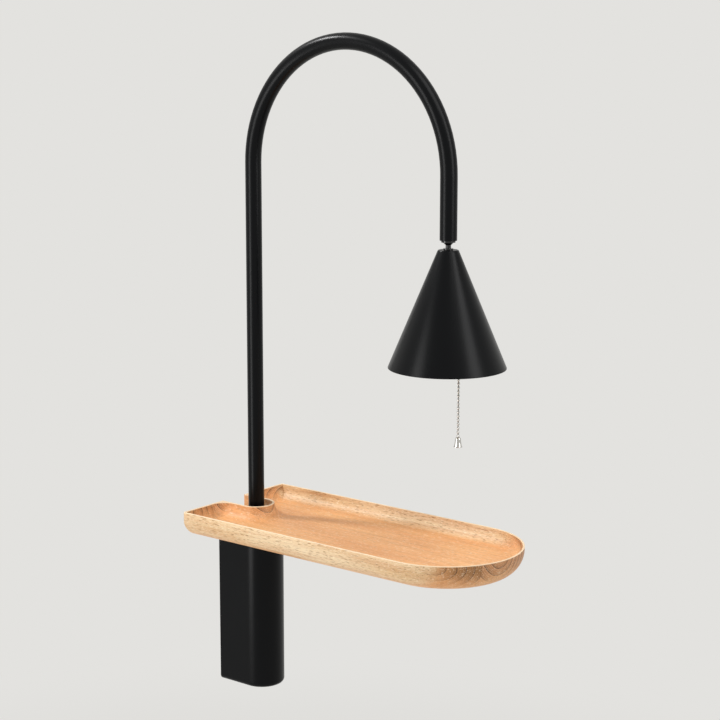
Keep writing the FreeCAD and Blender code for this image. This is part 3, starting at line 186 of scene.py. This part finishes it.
# Where the rings of each stave have their centre
HEARTS = ((-58 * MM, 0, 91 * MM), (-12 * MM, 0, 101 * MM), (54 * MM, 0, 62 * MM))
GRAIN_LEAN = 0.035      # how far the grain runs off the board's length
RING_WIDTH = 6.0 * MM
WANDER = 4.5 * MM       # how far a ring strays from a true circle
WANDER_LENGTH = 60 * MM
PORE_WIDTH = 0.7 * MM   # real pores are a quarter of this, too fine to show at this size
PORE_LENGTH = 5.5 * MM
PORES = (PORE_WIDTH, PORE_LENGTH, 0.55, 0.68)       # width, length, and the span of the noise that is kept
FLECKS = (1.3 * PORE_WIDTH, 0.6 * PORE_LENGTH, 0.45, 0.30)
STREAKS = (2.4 * MM, 60 * MM, 0.42, 0.72)
CLOUDS = (20 * MM, 110 * MM, 0.30, 0.70)
PORE_DEPTH = 0.04 * MM
# The pale strip along both long sides is sapwood and also painted light on the outer sides
LIT_SAPWOOD_FROM = shelf_side - 14 * MM     # the pale strip along both long sides begins here
LIT_SAPWOOD_FULL = shelf_side - 4 * MM
# The top of the rim is painted paler: a painted highlight along its thin edge
RIM_HIGHLIGHT_FROM = shelf_top - 0.7 * MM
RIM_HIGHLIGHT_FULL = shelf_top - 0.2 * MM

# %% [markdown]
# ### Year rings
# A ring is a circle round the stave's heart, so the distance from the heart, counted in ring widths, says
# which year the wood grew in. Slow noise bends the circles, and a slight lean lets them drift along the
# board.

# %% Rubberwood: rings
def ring_phase(tree, place):
    """Distance from the stave's heart in ring widths: its fraction is 0 in early wood, near 1 in late wood.

    Also returns the coordinates and whether a point is past the first glue line.
    """
    here = add(tree, "SeparateXYZ", {}, {0: place.outputs["Object"]})
    past = [add(tree, "Math", {1: line}, {0: here.outputs["X"]}, operation="GREATER_THAN")
            for line in GLUE_LINES]
    first = add(tree, "Mix", {VECTOR_A: HEARTS[0], VECTOR_B: HEARTS[1]}, {FACTOR: past[0].outputs[0]},
                data_type="VECTOR")
    heart = add(tree, "Mix", {VECTOR_B: HEARTS[2]},
                {FACTOR: past[1].outputs[0], VECTOR_A: first.outputs[MIXED_VECTOR]}, data_type="VECTOR")
    warp = add(tree, "TexNoise", {"Scale": 1 / WANDER_LENGTH, "Detail": 3.0, "Roughness": 0.5},
               {"Vector": position(tree, (1, 0.3, 1))})
    pull = add(tree, "VectorMath", {1: (0.5, 0.5, 0.5)}, {0: warp.outputs["Color"]}, operation="SUBTRACT")
    wander = add(tree, "VectorMath", {"Scale": 2 * WANDER}, {0: pull.outputs[0]}, operation="SCALE")
    lean = add(tree, "Math", {1: -GRAIN_LEAN, 2: GRAIN_LEAN * shelf_end}, {0: here.outputs["Y"]},
               operation="MULTIPLY_ADD")
    slide = add(tree, "CombineXYZ", {}, {0: lean.outputs[0]})
    moved = add(tree, "VectorMath", {}, {0: place.outputs["Object"], 1: wander.outputs[0]}, operation="ADD")
    leant = add(tree, "VectorMath", {}, {0: moved.outputs[0], 1: slide.outputs[0]}, operation="ADD")
    away = add(tree, "VectorMath", {}, {0: leant.outputs[0], 1: heart.outputs[MIXED_VECTOR]},
               operation="SUBTRACT")
    flat = add(tree, "VectorMath", {1: (1, 0, 1)}, {0: away.outputs[0]}, operation="MULTIPLY")
    reach = add(tree, "VectorMath", {}, {0: flat.outputs[0]}, operation="LENGTH")
    years = add(tree, "Math", {1: 1 / RING_WIDTH}, {0: reach.outputs["Value"]}, operation="MULTIPLY")
    return here, years, past[0]


def bands(tree, years, count, rise, top, fall):
    """A soft band in each ring, count times a ring: it climbs from rise to top and is gone at fall."""
    finer = add(tree, "Math", {1: count}, {0: years.outputs[0]}, operation="MULTIPLY")
    phase = add(tree, "Math", {}, {0: finer.outputs[0]}, operation="FRACT")
    up = add(tree, "MapRange", {"From Min": rise, "From Max": top}, {"Value": phase.outputs[0]},
             interpolation_type="SMOOTHSTEP")
    down = add(tree, "MapRange", {"From Min": top, "From Max": fall, "To Min": 1.0, "To Max": 0.0},
               {"Value": phase.outputs[0]}, interpolation_type="SMOOTHSTEP")
    return add(tree, "Math", {}, {0: up.outputs[0], 1: down.outputs[0]}, operation="MULTIPLY").outputs[0]


# %% [markdown]
# ### Layers of colour
# The board's colour is built like a stain: heartwood or the pale side strip first, then streaks and faint
# rings, then the end grain with its sharper rings, then flecks and pores, and the painted rim highlight last.
# The pale side strip is sapwood and also painted light on the outer sides. Each layer is a colour and the
# most that it may cover.

# %% Rubberwood: colours
HEARTWOOD = ("#E49E63", "#F2B67A")
# Colours of the pale side strip, which is sapwood and also painted light on the outer sides
SAPWOOD_AND_LIT_SIDE = ("#DFBA8A", "#F2DAB4")
SOAKED = ("#9A6C3D", "#BC865A")     # end grain in the first stave and in the other two
SOAK_FREE_END, SOAK_WALL_END = 0.92, 0.30
STREAK = ("#C98B58", 0.45)
FAINT_RING = ("#C58A57", 0.18)
# Rings in the end grain: count, rise, top and fall of a band, then its layer
END_RINGS = ((1.0, 0.25, 0.90, 1.0, "#8F6136", 0.55),
             (4.0, 0.50, 0.85, 1.0, "#6E4522", 0.45),
             (1.0, 0.80, 0.92, 0.99, "#4A2A12", 0.90))
FLECK = ("#FDEFD2", 0.42)
PORE = ("#96602F", 0.72)
# A painted highlight along the rim's top
RIM_HIGHLIGHT = ("#F6E0BE", 0.75)


def blended(tree, amount, below, above, most):
    """One colour laid over another: amount, from 0 to 1, is spread from 0 to most of the upper one."""
    share = add(tree, "MapRange", {"To Max": most}, {"Value": amount})
    mixed = add(tree, "Mix", {COLOUR_B: linear(above)}, {FACTOR: share.outputs[0], COLOUR_A: below},
                data_type="RGBA")
    return mixed.outputs[MIXED_COLOUR]


def streaks(tree, width, length, low, high):
    """Noise drawn out along the grain, cut to the part between low and high."""
    noise = add(tree, "TexNoise", {"Scale": 1.0, "Detail": 2.0, "Roughness": 0.55},
                {"Vector": position(tree, (1 / width, 1 / length, 1 / width), (0, 0, GRAIN_LEAN))})
    return add(tree, "MapRange", {"From Min": low, "From Max": high}, {"Value": noise.outputs[0]}).outputs[0]


def end_grain_share(tree, place):
    """1 on upright faces toward the board's ends, where the grain is cut across, and 0 along its sides."""
    normal = add(tree, "SeparateXYZ", {}, {0: place.outputs["Normal"]})
    facing = add(tree, "Math", {}, {0: normal.outputs["Y"]}, operation="ABSOLUTE")
    square = add(tree, "MapRange", {"From Min": 0.30, "From Max": 0.80}, {"Value": facing.outputs[0]},
                 interpolation_type="SMOOTHSTEP")
    level = add(tree, "Math", {}, {0: normal.outputs["Z"]}, operation="ABSOLUTE")
    upright = add(tree, "MapRange", {"From Min": 0.15, "From Max": 0.65, "To Min": 1.0, "To Max": 0.10},
                  {"Value": level.outputs[0]})
    share = add(tree, "Math", {}, {0: square.outputs[0], 1: upright.outputs[0]}, operation="MULTIPLY")
    return share.outputs[0]


def plain_board(tree, here, years, sapwood_and_lit_side):
    """Heartwood and a pale side strip of sapwood and painted light, clouded, streaked and faintly ringed."""
    cloud = streaks(tree, *CLOUDS)
    dark, pale = [add(tree, "Mix", {COLOUR_A: linear(first), COLOUR_B: linear(second)}, {FACTOR: cloud},
                      data_type="RGBA").outputs[MIXED_COLOUR] for first, second in (HEARTWOOD, SAPWOOD_AND_LIT_SIDE)]
    board = add(tree, "Mix", {}, {FACTOR: sapwood_and_lit_side, COLOUR_A: dark, COLOUR_B: pale}, data_type="RGBA")
    streaked = blended(tree, streaks(tree, *STREAKS), board.outputs[MIXED_COLOUR], *STREAK)
    return blended(tree, bands(tree, years, 1.0, 0.30, 0.88, 1.0), streaked, *FAINT_RING)


def with_end_grain(tree, place, here, years, past, board):
    """Darkens the end grain with oil, most at the free end, and draws its rings."""
    end_grain = end_grain_share(tree, place)
    soaked = add(tree, "Mix", {COLOUR_A: linear(SOAKED[0]), COLOUR_B: linear(SOAKED[1])},
                 {FACTOR: past.outputs[0]}, data_type="RGBA")
    oil = add(tree, "MapRange", {"From Min": 0.8 * shelf_end, "From Max": 0.2 * shelf_end,
                                 "To Min": SOAK_FREE_END, "To Max": SOAK_WALL_END},
              {"Value": here.outputs["Y"]})
    soak = add(tree, "Math", {}, {0: end_grain, 1: oil.outputs[0]}, operation="MULTIPLY")
    oiled = add(tree, "Mix", {}, {FACTOR: soak.outputs[0], COLOUR_A: board,
                                  COLOUR_B: soaked.outputs[MIXED_COLOUR]}, data_type="RGBA")
    cut = oiled.outputs[MIXED_COLOUR]
    for count, rise, top, fall, colour, most in END_RINGS:
        ring = add(tree, "Math", {}, {0: bands(tree, years, count, rise, top, fall), 1: end_grain},
                   operation="MULTIPLY")
        cut = blended(tree, ring.outputs[0], cut, colour, most)
    return cut


def rubberwood():
    """The wood as one material: the layers above, one over another, with the pores pressed in."""
    material, tree, shader = finish_named("oiled_rubberwood", {"Roughness": 0.48, "IOR": 1.48})
    place = add(tree, "TexCoord")
    here, years, past = ring_phase(tree, place)
    # The pale side strip: sapwood, and painted light on the outer sides
    side = add(tree, "Math", {}, {0: here.outputs["X"]}, operation="ABSOLUTE")
    sapwood_and_lit_side = add(tree, "MapRange", {"From Min": LIT_SAPWOOD_FROM, "From Max": LIT_SAPWOOD_FULL},
                  {"Value": side.outputs[0]}, interpolation_type="SMOOTHSTEP").outputs[0]
    board = plain_board(tree, here, years, sapwood_and_lit_side)
    cut = with_end_grain(tree, place, here, years, past, board)
    flecked = blended(tree, streaks(tree, *FLECKS), cut, *FLECK)
    pore = streaks(tree, *PORES)
    denser = add(tree, "MapRange", {"To Min": 0.5, "To Max": 1.0}, {"Value": sapwood_and_lit_side})
    dark = add(tree, "Math", {}, {0: pore, 1: denser.outputs[0]}, operation="MULTIPLY")
    dotted = blended(tree, dark.outputs[0], flecked, *PORE)
    # The rim's top is painted paler: a painted highlight
    rim_highlight = add(tree, "MapRange", {"From Min": RIM_HIGHLIGHT_FROM, "From Max": RIM_HIGHLIGHT_FULL},
                  {"Value": here.outputs["Z"]})
    pit = add(tree, "Bump", {"Strength": 0.25, "Distance": -PORE_DEPTH}, {"Height": pore})
    tree.links.new(blended(tree, rim_highlight.outputs[0], dotted, *RIM_HIGHLIGHT), shader.inputs["Base Color"])
    tree.links.new(pit.outputs[0], shader.inputs["Normal"])
    return material


wood = rubberwood()
print("rubberwood: rings", RING_WIDTH / MM, "mm apart, pores", PORE_LENGTH / MM, "mm long")

# %% [markdown]
# ## Metals
# A bright plating differs from a dull one mostly in roughness. Fine scratches in one direction, a fraction
# of a millimetre apart, show on what was turned or rolled. The chain and its bell are brass, polished and
# nickel-plated, so they mirror the room. The screws and brackets are zinc-plated, which leaves a dull
# blue-grey. The light unit's carrier is turned aluminium with faint rings, and the small fittings are
# brass, turned and left bare.

# %% Metals
SCRATCH_SPACING = 0.5 * MM      # real scratches are a tenth of this, too fine to show at this size
SCRATCH_DEPTH = 0.004 * MM
RIPPLE_SPACING = 1.5 * MM       # polished plating has no scratches, only a slow ripple
RIPPLE_DEPTH = 0.001 * MM


def metal(name, colour, roughness, brush=(1, 1, 1), spacing=SCRATCH_SPACING, depth=SCRATCH_DEPTH):
    """A metal with scratches: brush holds how much the noise is squeezed along x, y and z."""
    material, tree, shader = finish_named(name, {"Base Color": linear(colour), "Metallic": 1.0})
    lines = add(tree, "TexNoise", {"Scale": 1 / spacing, "Detail": 2.0}, {"Vector": position(tree, brush)})
    tone = add(tree, "MapRange", {"To Min": roughness * 0.75, "To Max": roughness * 1.25},
               {"Value": lines.outputs[0]})
    bump = add(tree, "Bump", {"Strength": 0.4, "Distance": depth}, {"Height": lines.outputs[0]})
    tree.links.new(tone.outputs[0], shader.inputs["Roughness"])
    tree.links.new(bump.outputs[0], shader.inputs["Normal"])
    return material


nickel = metal("bright_nickel_plate", "#C6C4C0", 0.10, spacing=RIPPLE_SPACING, depth=RIPPLE_DEPTH)
zinc = metal("zinc_plated_steel", "#A9ACAF", 0.34, brush=(1, 0.1, 1))
aluminium = metal("turned_aluminium", "#C9CBCD", 0.30, brush=(1, 1, 0.1))
brass = metal("turned_brass", "#CBA560", 0.26, brush=(0.2, 1, 1))
print("metals: scratches", SCRATCH_SPACING / MM, "mm apart")

# %% [markdown]
# ## Plastics and rubber
# Moulded plastic has a fine even grain from the mould and a little colour variation. The diffuser under the
# lamp's light unit is opal acrylic: light enters it and spreads, so it looks soft when anything lights it.
# The rubber of the grommet is duller and coarser, the leads have a smooth drawn sheath, and the light
# unit's chips sit under drops of yellow resin on a board with a smooth white lacquer.

# %% Plastics and rubber
MOULD_GRAIN = 0.35 * MM
RUBBER_GRAIN = 0.6 * MM
GRAIN_DEPTH = 0.01 * MM
DRIFT_SPACING = 12 * MM
SCATTER_DEPTH = 2 * MM


def moulded(name, colour, other, roughness, grain=MOULD_GRAIN, inside=0.0):
    """A plastic that drifts between two colours, with a mould's grain. Inside is how far it lets light in."""
    material, tree, shader = finish_named(name, {"Roughness": roughness, "IOR": 1.48,
                                                 "Subsurface Weight": inside,
                                                 "Subsurface Scale": SCATTER_DEPTH})
    place = position(tree)
    texture = add(tree, "TexNoise", {"Scale": 1 / grain, "Detail": 1.0}, {"Vector": place})
    drift = add(tree, "TexNoise", {"Scale": 1 / DRIFT_SPACING, "Detail": 2.0}, {"Vector": place})
    tint = add(tree, "Mix", {COLOUR_A: linear(colour), COLOUR_B: linear(other)}, {FACTOR: drift.outputs[0]},
               data_type="RGBA")
    bump = add(tree, "Bump", {"Strength": 0.3, "Distance": GRAIN_DEPTH}, {"Height": texture.outputs[0]})
    tree.links.new(tint.outputs[MIXED_COLOUR], shader.inputs["Base Color"])
    tree.links.new(bump.outputs[0], shader.inputs["Normal"])
    return material


opal = moulded("opal_acrylic", "#EDEDE6", "#F3F2EC", 0.30, inside=0.4)
white_plastic = moulded("white_moulded_plastic", "#DCDCD6", "#E6E5DF", 0.45)
black_plastic = moulded("black_moulded_plastic", "#17181A", "#1D1E20", 0.42)
rubber = moulded("black_rubber", "#161616", "#1E1E1D", 0.72, grain=RUBBER_GRAIN)
sheath = moulded("grey_cable_sheath", "#55575A", "#606265", 0.55)
phosphor = moulded("phosphor_resin", "#E7C552", "#EED06A", 0.38)
white_solder_mask = moulded("white_solder_mask", "#E9EBE8", "#F2F3F0", 0.24)
print(len(bpy.data.materials), "materials")

# %% [markdown]
# ## Finishes for the solid parts
# Every solid part has one slot, which takes the finish of what the part is made of.

# %% Each solid part gets its finish
FINISHES = {
    black_coat: ("housing_shell", "tray_bracket", "arm_socket", "arm_tube", "shade"),
    black_lacquer: ("swivel_cup", "swivel_ball"),
    wood: ("tray",),
    nickel: ("chain_eyelet", "switch_nut", "pull_chain", "bell_pull"),
    zinc: ("wall_plate", "housing_screw", "terminal_screws", "driver_screws", "bracket_screws", "tray_screws",
           "stop_pin", "socket_nut", "stop_washer", "spigot_nut", "swivel_grub_screw", "hanger_strap",
           "carrier_screws", "board_screws"),
    aluminium: ("led_carrier",),
    brass: ("terminal_clamps", "earth_screw", "arm_spigot", "cup_plug", "shade_nut", "switch_plunger"),
    opal: ("diffuser",),
    white_plastic: ("terminal_block", "led_driver", "thrust_washer", "ball_seat_ring"),
    black_plastic: ("pull_switch",),
    rubber: ("cable_grommet",),
    sheath: ("driver_input_lead", "driver_output_lead", "arm_lead", "shade_lead"),
    phosphor: ("led_chips",),
    white_solder_mask: ("led_board",),
}
for material, names in FINISHES.items():
    for name in names:
        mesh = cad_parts[name].data
        mesh.materials.clear()
        mesh.materials.append(material)
print(sum(len(names) for names in FINISHES.values()), "of", len(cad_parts), "parts have a finish")

# %% [markdown]
# ## Turned pieces
# The shade is spun on a lathe from an aluminium disc, and the chain's balls and its bell are round too. A
# lathe carries a profile round an axis, so here a profile is a list of radii and heights, and one grid of
# points holds the profile at every turn. Real corners are never sharp, so each corner of the shade's
# profile is replaced by a short curve. That gives the light an edge to catch, which the plain solids lack.

# %% A lathe
MERGE = 0.002 * MM      # points closer than this are one
SLIVER = 0.001 * MM     # an edge shorter than this is dropped


def rounded(corners, bends, steps=6):
    """Each corner becomes a curve from a bend before it to a bend after it.

    A point on the curve is (1-t)^2 start + 2t(1-t) corner + t^2 end.
    """
    corners = np.array(corners, float)
    bends = np.array(bends, float)[:, None]
    before = np.roll(corners, 1, axis=0) - corners
    after = np.roll(corners, -1, axis=0) - corners
    start = corners + before / np.linalg.norm(before, axis=1, keepdims=True) * bends
    end = corners + after / np.linalg.norm(after, axis=1, keepdims=True) * bends
    t = np.linspace(0, 1, steps)[None, :, None]
    curve = (1 - t) ** 2 * start[:, None] + 2 * t * (1 - t) * corners[:, None] + t ** 2 * end[:, None]
    return curve.reshape(-1, 2)


def turned(name, profile, centre_y, finish, body, slot, *nodes, around, closed=False):
    """Carries a profile of (radius, height) rows round an upright axis.

    A point lies at x = radius sin a, y = centre - radius cos a and z = height, for each angle a of a full
    turn in so many steps around. A closed profile ends where it began, like a wall seen in section.
    """
    profile = np.array(profile, float)
    angle = np.linspace(0, 2 * np.pi, around, endpoint=False)
    radius, height = profile[:, :1], profile[:, 1:]
    grid = np.stack([radius * np.sin(angle), centre_y - radius * np.cos(angle), height + 0 * angle], axis=-1)
    rows = len(profile)
    row = np.arange(rows if closed else rows - 1)[:, None]
    turn = np.arange(around)[None, :]
    below, beside = (row + 1) % rows, (turn + 1) % around
    faces = np.stack([row * around + turn, row * around + beside,
                      below * around + beside, below * around + turn], axis=-1).reshape(-1, 4)
    mesh = bpy.data.meshes.new(name)
    mesh.from_pydata(grid.reshape(-1, 3).tolist(), [], faces.tolist())
    work = bmesh.new()
    work.from_mesh(mesh)
    bmesh.ops.remove_doubles(work, verts=work.verts, dist=MERGE)
    bmesh.ops.dissolve_degenerate(work, edges=work.edges, dist=SLIVER)
    bmesh.ops.recalc_face_normals(work, faces=work.faces)
    work.to_mesh(mesh)
    work.free()
    mesh.polygons.foreach_set("use_smooth", np.ones(len(mesh.polygons), bool))
    mesh.materials.append(finish)
    piece = bpy.data.objects.new(name, mesh)
    bpy.context.collection.objects.link(piece)
    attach(piece, body)
    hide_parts(*nodes)
    print(name, len(mesh.polygons), "faces")


# %% [markdown]
# ## Spun shade
# The cone is one sheet of aluminium, 1.2 mm thick, with a flat top round the swivel's stem, a rounded
# shoulder and a folded hem at the rim. Its profile is a closed loop of straight runs with softened corners,
# so the wall has its real thickness and the inside is there for anyone who looks up into it.

# %% Spun shade
WALL = 1.2 * MM
TOP_RADIUS = 8.25 * MM
TOP_THICKNESS = 1.5 * MM
STEM_RADIUS = 3.0 * MM
HEM_HEIGHT = 2.5 * MM
HEM_THICKNESS = 2.0 * MM
HEM_LIP = 0.3 * MM      # the hem's inner edge lies this much lower than its top
# How far each corner's curve reaches, corner by corner in the order of shade_corners below
SHADE_BENDS = np.array([0.5, 0.6, 1.0, 0.05, 0.05, 1.0, 0.05, 0.05]) * MM
rim_radius = box["shade"][1].x
shade_base = box["shade"][0].z
shade_height = box["shade"][1].z - shade_base
slope = (rim_radius - TOP_RADIUS) / shade_height
wall_across = WALL * math.hypot(1, slope)


def inside(height):
    """The inner wall's radius at a height above the rim."""
    return rim_radius - slope * height - wall_across


ceiling = shade_height - TOP_THICKNESS
shade_corners = [(rim_radius - HEM_THICKNESS, 0), (rim_radius, 0), (TOP_RADIUS, shade_height),
                 (STEM_RADIUS, shade_height), (STEM_RADIUS, ceiling), (inside(ceiling), ceiling),
                 (inside(HEM_HEIGHT), HEM_HEIGHT), (rim_radius - HEM_THICKNESS, HEM_HEIGHT - HEM_LIP)]
shade_profile = rounded(shade_corners, SHADE_BENDS) + (0, shade_base)
turned("spun_shade", shade_profile, shade_y, black_coat, "shade_unit", "black_powder_coat", "shade",
       around=160, closed=True)

# %% [markdown]
# ## Bead chain
# Hollow balls are pressed from strip round short pins, whose ends show as a small ring in each ball's
# poles. The chain hangs straight, so the whole of it is one profile: for each ball a half circle between
# two little collars, with the thin pin in between.

# %% Bead chain
BEAD_RADIUS = 1.2 * MM
BEAD_PITCH = 3.3 * MM
HOLE_RADIUS = 0.55 * MM
PIN_RADIUS = 0.45 * MM
PIN_INSET = 0.12 * MM   # how deep the pin meets the ball inside its hole
ARC_STEPS = 13
chain_low, chain_high = box["pull_chain"]
bead_count = round((chain_high.z - chain_low.z - 2 * BEAD_RADIUS) / BEAD_PITCH) + 1
opening = math.asin(HOLE_RADIUS / BEAD_RADIUS)
swing = np.linspace(opening, math.pi - opening, ARC_STEPS)
ball = np.stack([BEAD_RADIUS * np.sin(swing), BEAD_RADIUS * np.cos(swing)], axis=-1)
collar = np.array([(PIN_RADIUS, BEAD_RADIUS * math.cos(opening) - PIN_INSET)])
bead = np.concatenate([collar, ball, collar * (1, -1)])
bead_heights = chain_high.z - BEAD_RADIUS - BEAD_PITCH * np.arange(bead_count)
drops = np.stack([np.zeros(bead_count), bead_heights], axis=-1)
beads = (bead[None] + drops[:, None]).reshape(-1, 2)
chain_profile = np.concatenate([[(0, beads[0, 1])], beads, [(PIN_RADIUS, chain_low.z), (0, chain_low.z)]])
turned("bead_chain", chain_profile, chain_y, nickel, "chain", "nickel_plate", "pull_chain", around=20)
print(bead_count, "beads")

# %% [markdown]
# ## Bell
# The pull at the chain's end is a small turned bell: a short collar, a domed crown, a side that flares ever
# faster towards its turned-out lip, and a hollow under it. The dome is a quarter of an ellipse, the side
# moves out with the power 1.5 of the way down, and the lip is another quarter of an ellipse.

# %% Bell
CROWN_RADIUS, SHOULDER_RADIUS, WAIST_RADIUS = 0.9 * MM, 2.4 * MM, 3.05 * MM
DOME_DROP, LIP_HEIGHT, LIP_FOOT = 1.6 * MM, 1.3 * MM, 0.3 * MM
BELL_WALL, HOLLOW_DEPTH, EDGE = 0.6 * MM, 5.0 * MM, 0.1 * MM
FLARE = 1.5
CURVE_STEPS = 9
bell_low, bell_high = box["bell_pull"]
bell_lip = bell_high.x
side_top, side_base = bell_high.z - DOME_DROP, bell_low.z + LIP_HEIGHT
quarter = np.linspace(0, math.pi / 2, CURVE_STEPS)
run = np.linspace(0, 1, CURVE_STEPS)[1:]
dome = np.stack([CROWN_RADIUS + (SHOULDER_RADIUS - CROWN_RADIUS) * np.sin(quarter),
                 side_top + DOME_DROP * np.cos(quarter)], axis=-1)
flare = np.stack([SHOULDER_RADIUS + (WAIST_RADIUS - SHOULDER_RADIUS) * run ** FLARE,
                  side_top + (side_base - side_top) * run], axis=-1)
lip = np.stack([WAIST_RADIUS + (bell_lip - WAIST_RADIUS) * (1 - np.cos(quarter[1:])),
                side_base - (LIP_HEIGHT - LIP_FOOT) * np.sin(quarter[1:])], axis=-1)
edge = np.array([(bell_lip, bell_low.z + EDGE), (bell_lip - EDGE, bell_low.z),
                 (bell_lip - BELL_WALL, bell_low.z), (bell_lip - BELL_WALL - EDGE, bell_low.z + EDGE)])
hollow_top = bell_low.z + HOLLOW_DEPTH
hollow = np.array([(WAIST_RADIUS - BELL_WALL, side_base), (SHOULDER_RADIUS - BELL_WALL, hollow_top),
                   (0, hollow_top)])
bell_profile = np.concatenate([[(0, bell_high.z)], dome, flare, lip, edge, hollow])
turned("bell", bell_profile, chain_y, nickel, "chain", "nickel_plate", "bell_pull", around=48)

# %% [markdown]
# ## Floor and backdrop
# A pale painted floor lies a forearm's length below the lamp and catches its soft shadow. Far from the lamp
# the floor fades into the backdrop's plain colour, for what the camera and shiny parts see, so no horizon
# shows. The world gives the same colour to those rays, and a weaker, even light to everything else. From
# underneath the floor is clear, so that the lamp can be looked at from below too.

# %% Floor and backdrop
FLOOR_BELOW = 340 * MM
FLOOR_REACH = 12.0
FADE_FROM, FADE_TO = 0.30, 1.0      # metres across the floor from the foot of the lamp's wall plate
FADE_LEAST = 0.35                   # how much of the backdrop shows even right under the lamp
BACKDROP = "#E3E2DF"
AMBIENT = 0.50
centre = (cad_low + cad_high) / 2


def seen_rays(tree):
    """1 for rays from the camera, a glossy surface or clear plastic, and 0 for the rest."""
    path = add(tree, "LightPath")
    shiny = add(tree, "Math", {}, {0: path.outputs["Is Camera Ray"], 1: path.outputs["Is Glossy Ray"]},
                operation="MAXIMUM")
    seen = add(tree, "Math", {}, {0: shiny.outputs[0], 1: path.outputs["Is Transmission Ray"]},
               operation="MAXIMUM")
    return seen.outputs[0]


def pale_floor_paint():
    """Matt emulsion that fades into the backdrop away from the lamp, and is clear from below."""
    paint = {"Base Color": linear("#E4E3E0"), "Roughness": 0.8, "Specular IOR Level": 0.2}
    material, tree, shader = finish_named("pale_floor_paint", paint)
    spread = add(tree, "VectorMath", {1: (1, 1, 0)}, {0: add(tree, "TexCoord").outputs["Object"]},
                 operation="MULTIPLY")
    distance = add(tree, "VectorMath", {}, {0: spread.outputs[0]}, operation="LENGTH")
    fade = add(tree, "MapRange", {"From Min": FADE_FROM, "From Max": FADE_TO, "To Min": FADE_LEAST},
               {"Value": distance.outputs["Value"]}, interpolation_type="SMOOTHSTEP")
    share = add(tree, "Math", {}, {0: fade.outputs[0], 1: seen_rays(tree)}, operation="MULTIPLY")
    glow = add(tree, "Emission", {"Color": linear(BACKDROP), "Strength": 1.0})
    both = add(tree, "MixShader", {}, {0: share.outputs[0], 1: shader.outputs[0], 2: glow.outputs[0]})
    underside = add(tree, "NewGeometry").outputs["Backfacing"]
    clear = add(tree, "BsdfTransparent")
    shown = add(tree, "MixShader", {}, {0: underside, 1: both.outputs[0], 2: clear.outputs[0]})
    tree.links.new(shown.outputs[0], tree.nodes["Material Output"].inputs["Surface"])
    return material


floor_z = cad_low.z - FLOOR_BELOW
corners = [(x * FLOOR_REACH, y * FLOOR_REACH, floor_z) for x, y in ((-1, -1), (1, -1), (1, 1), (-1, 1))]
floor_mesh = bpy.data.meshes.new("floor")
floor_mesh.from_pydata(corners, [], [(0, 1, 2, 3)])
floor_mesh.materials.append(pale_floor_paint())
floor = bpy.data.objects.new("floor", floor_mesh)
bpy.context.collection.objects.link(floor)

world = bpy.data.worlds.new("studio")
bpy.context.scene.world = world
world.use_nodes = True
tree = world.node_tree
backdrop = tree.nodes["Background"]
backdrop.inputs["Color"].default_value = linear(BACKDROP)
strength = add(tree, "MapRange", {"To Min": AMBIENT, "To Max": 1.0}, {"Value": seen_rays(tree)})
tree.links.new(strength.outputs[0], backdrop.inputs["Strength"])
print("floor", round(floor_z, 3), "m, backdrop", BACKDROP)

# %% [markdown]
# ## Where the camera stands
# The camera stands to the left of the shelf's free end and a little above the shelf, with a long lens, so
# the upright lines stay nearly parallel. Its place comes first, because the lamps stand round it.

# %% Camera's place
CAMERA_PLACE = Vector((-1.2218, -1.1377, 0.5336))       # metres
CAMERA_AIM = Vector((0.7627, 0.6195, -0.1857))
CAMERA_ROLL = math.radians(-0.05)
CAMERA_LENS = 96.2                                      # millimetres
SENSOR_WIDTH = 36
FARTHEST = 50                                           # metres, beyond which nothing is drawn
print("camera", round((CAMERA_PLACE - centre).length, 2), "m from the lamp")

# %% [markdown]
# ## Lamps
# Two tall soft boxes stand left and right of the camera: each draws one upright band down the tube, the
# cone and the housing, the left one brighter. A large soft box above and to the right lights the dish's
# floor, and a small one, high up and far round to the left, throws the pole's shadow along it.

# %% Lamps
def soft_box(name, turn, height, distance, width, tall, watts):
    """A rectangular lamp at an angle round the object from the camera's side, facing the object's middle."""
    toward_camera = -CAMERA_AIM.copy()
    toward_camera.z = 0
    spot = Matrix.Rotation(math.radians(turn), 3, "Z") @ toward_camera.normalized() * distance
    lamp = bpy.data.lights.new(name, "AREA")
    lamp.shape = "RECTANGLE"
    lamp.size = width
    lamp.size_y = tall
    lamp.energy = watts
    stand = bpy.data.objects.new(name, lamp)
    bpy.context.collection.objects.link(stand)
    stand.visible_camera = False
    stand.location = centre + spot + Vector((0, 0, height))
    stand.rotation_euler = (centre - stand.location).to_track_quat("-Z", "Y").to_euler()


soft_box("key_box", turn=-60, height=0.02, distance=1.1, width=0.36, tall=1.1, watts=7.4)
soft_box("fill_box", turn=56, height=0.45, distance=1.1, width=0.40, tall=1.0, watts=5.5)
soft_box("top_box", turn=45, height=1.5, distance=0.9, width=1.0, tall=1.0, watts=10)
soft_box("shadow_box", turn=-108, height=0.95, distance=0.9, width=0.14, tall=0.14, watts=8.5)
print(len(bpy.data.lights), "lamps")

# %% [markdown]
# ## Camera
# The camera looks along its aim with a slight roll, and the colours are shown as they are, with no film
# curve.

# %% Camera
lens = bpy.data.cameras.new("camera")
lens.lens = CAMERA_LENS
lens.sensor_width = SENSOR_WIDTH
lens.clip_end = FARTHEST
camera = bpy.data.objects.new("camera", lens)
bpy.context.collection.objects.link(camera)
aimed = CAMERA_AIM.to_track_quat("-Z", "Y").to_matrix()
camera.location = CAMERA_PLACE
camera.rotation_mode = "QUATERNION"
camera.rotation_quaternion = (Matrix.Rotation(CAMERA_ROLL, 3, CAMERA_AIM) @ aimed).to_quaternion()
bpy.context.scene.camera = camera
bpy.context.scene.view_settings.view_transform = "Standard"
print("lens", round(CAMERA_LENS, 1), "mm")
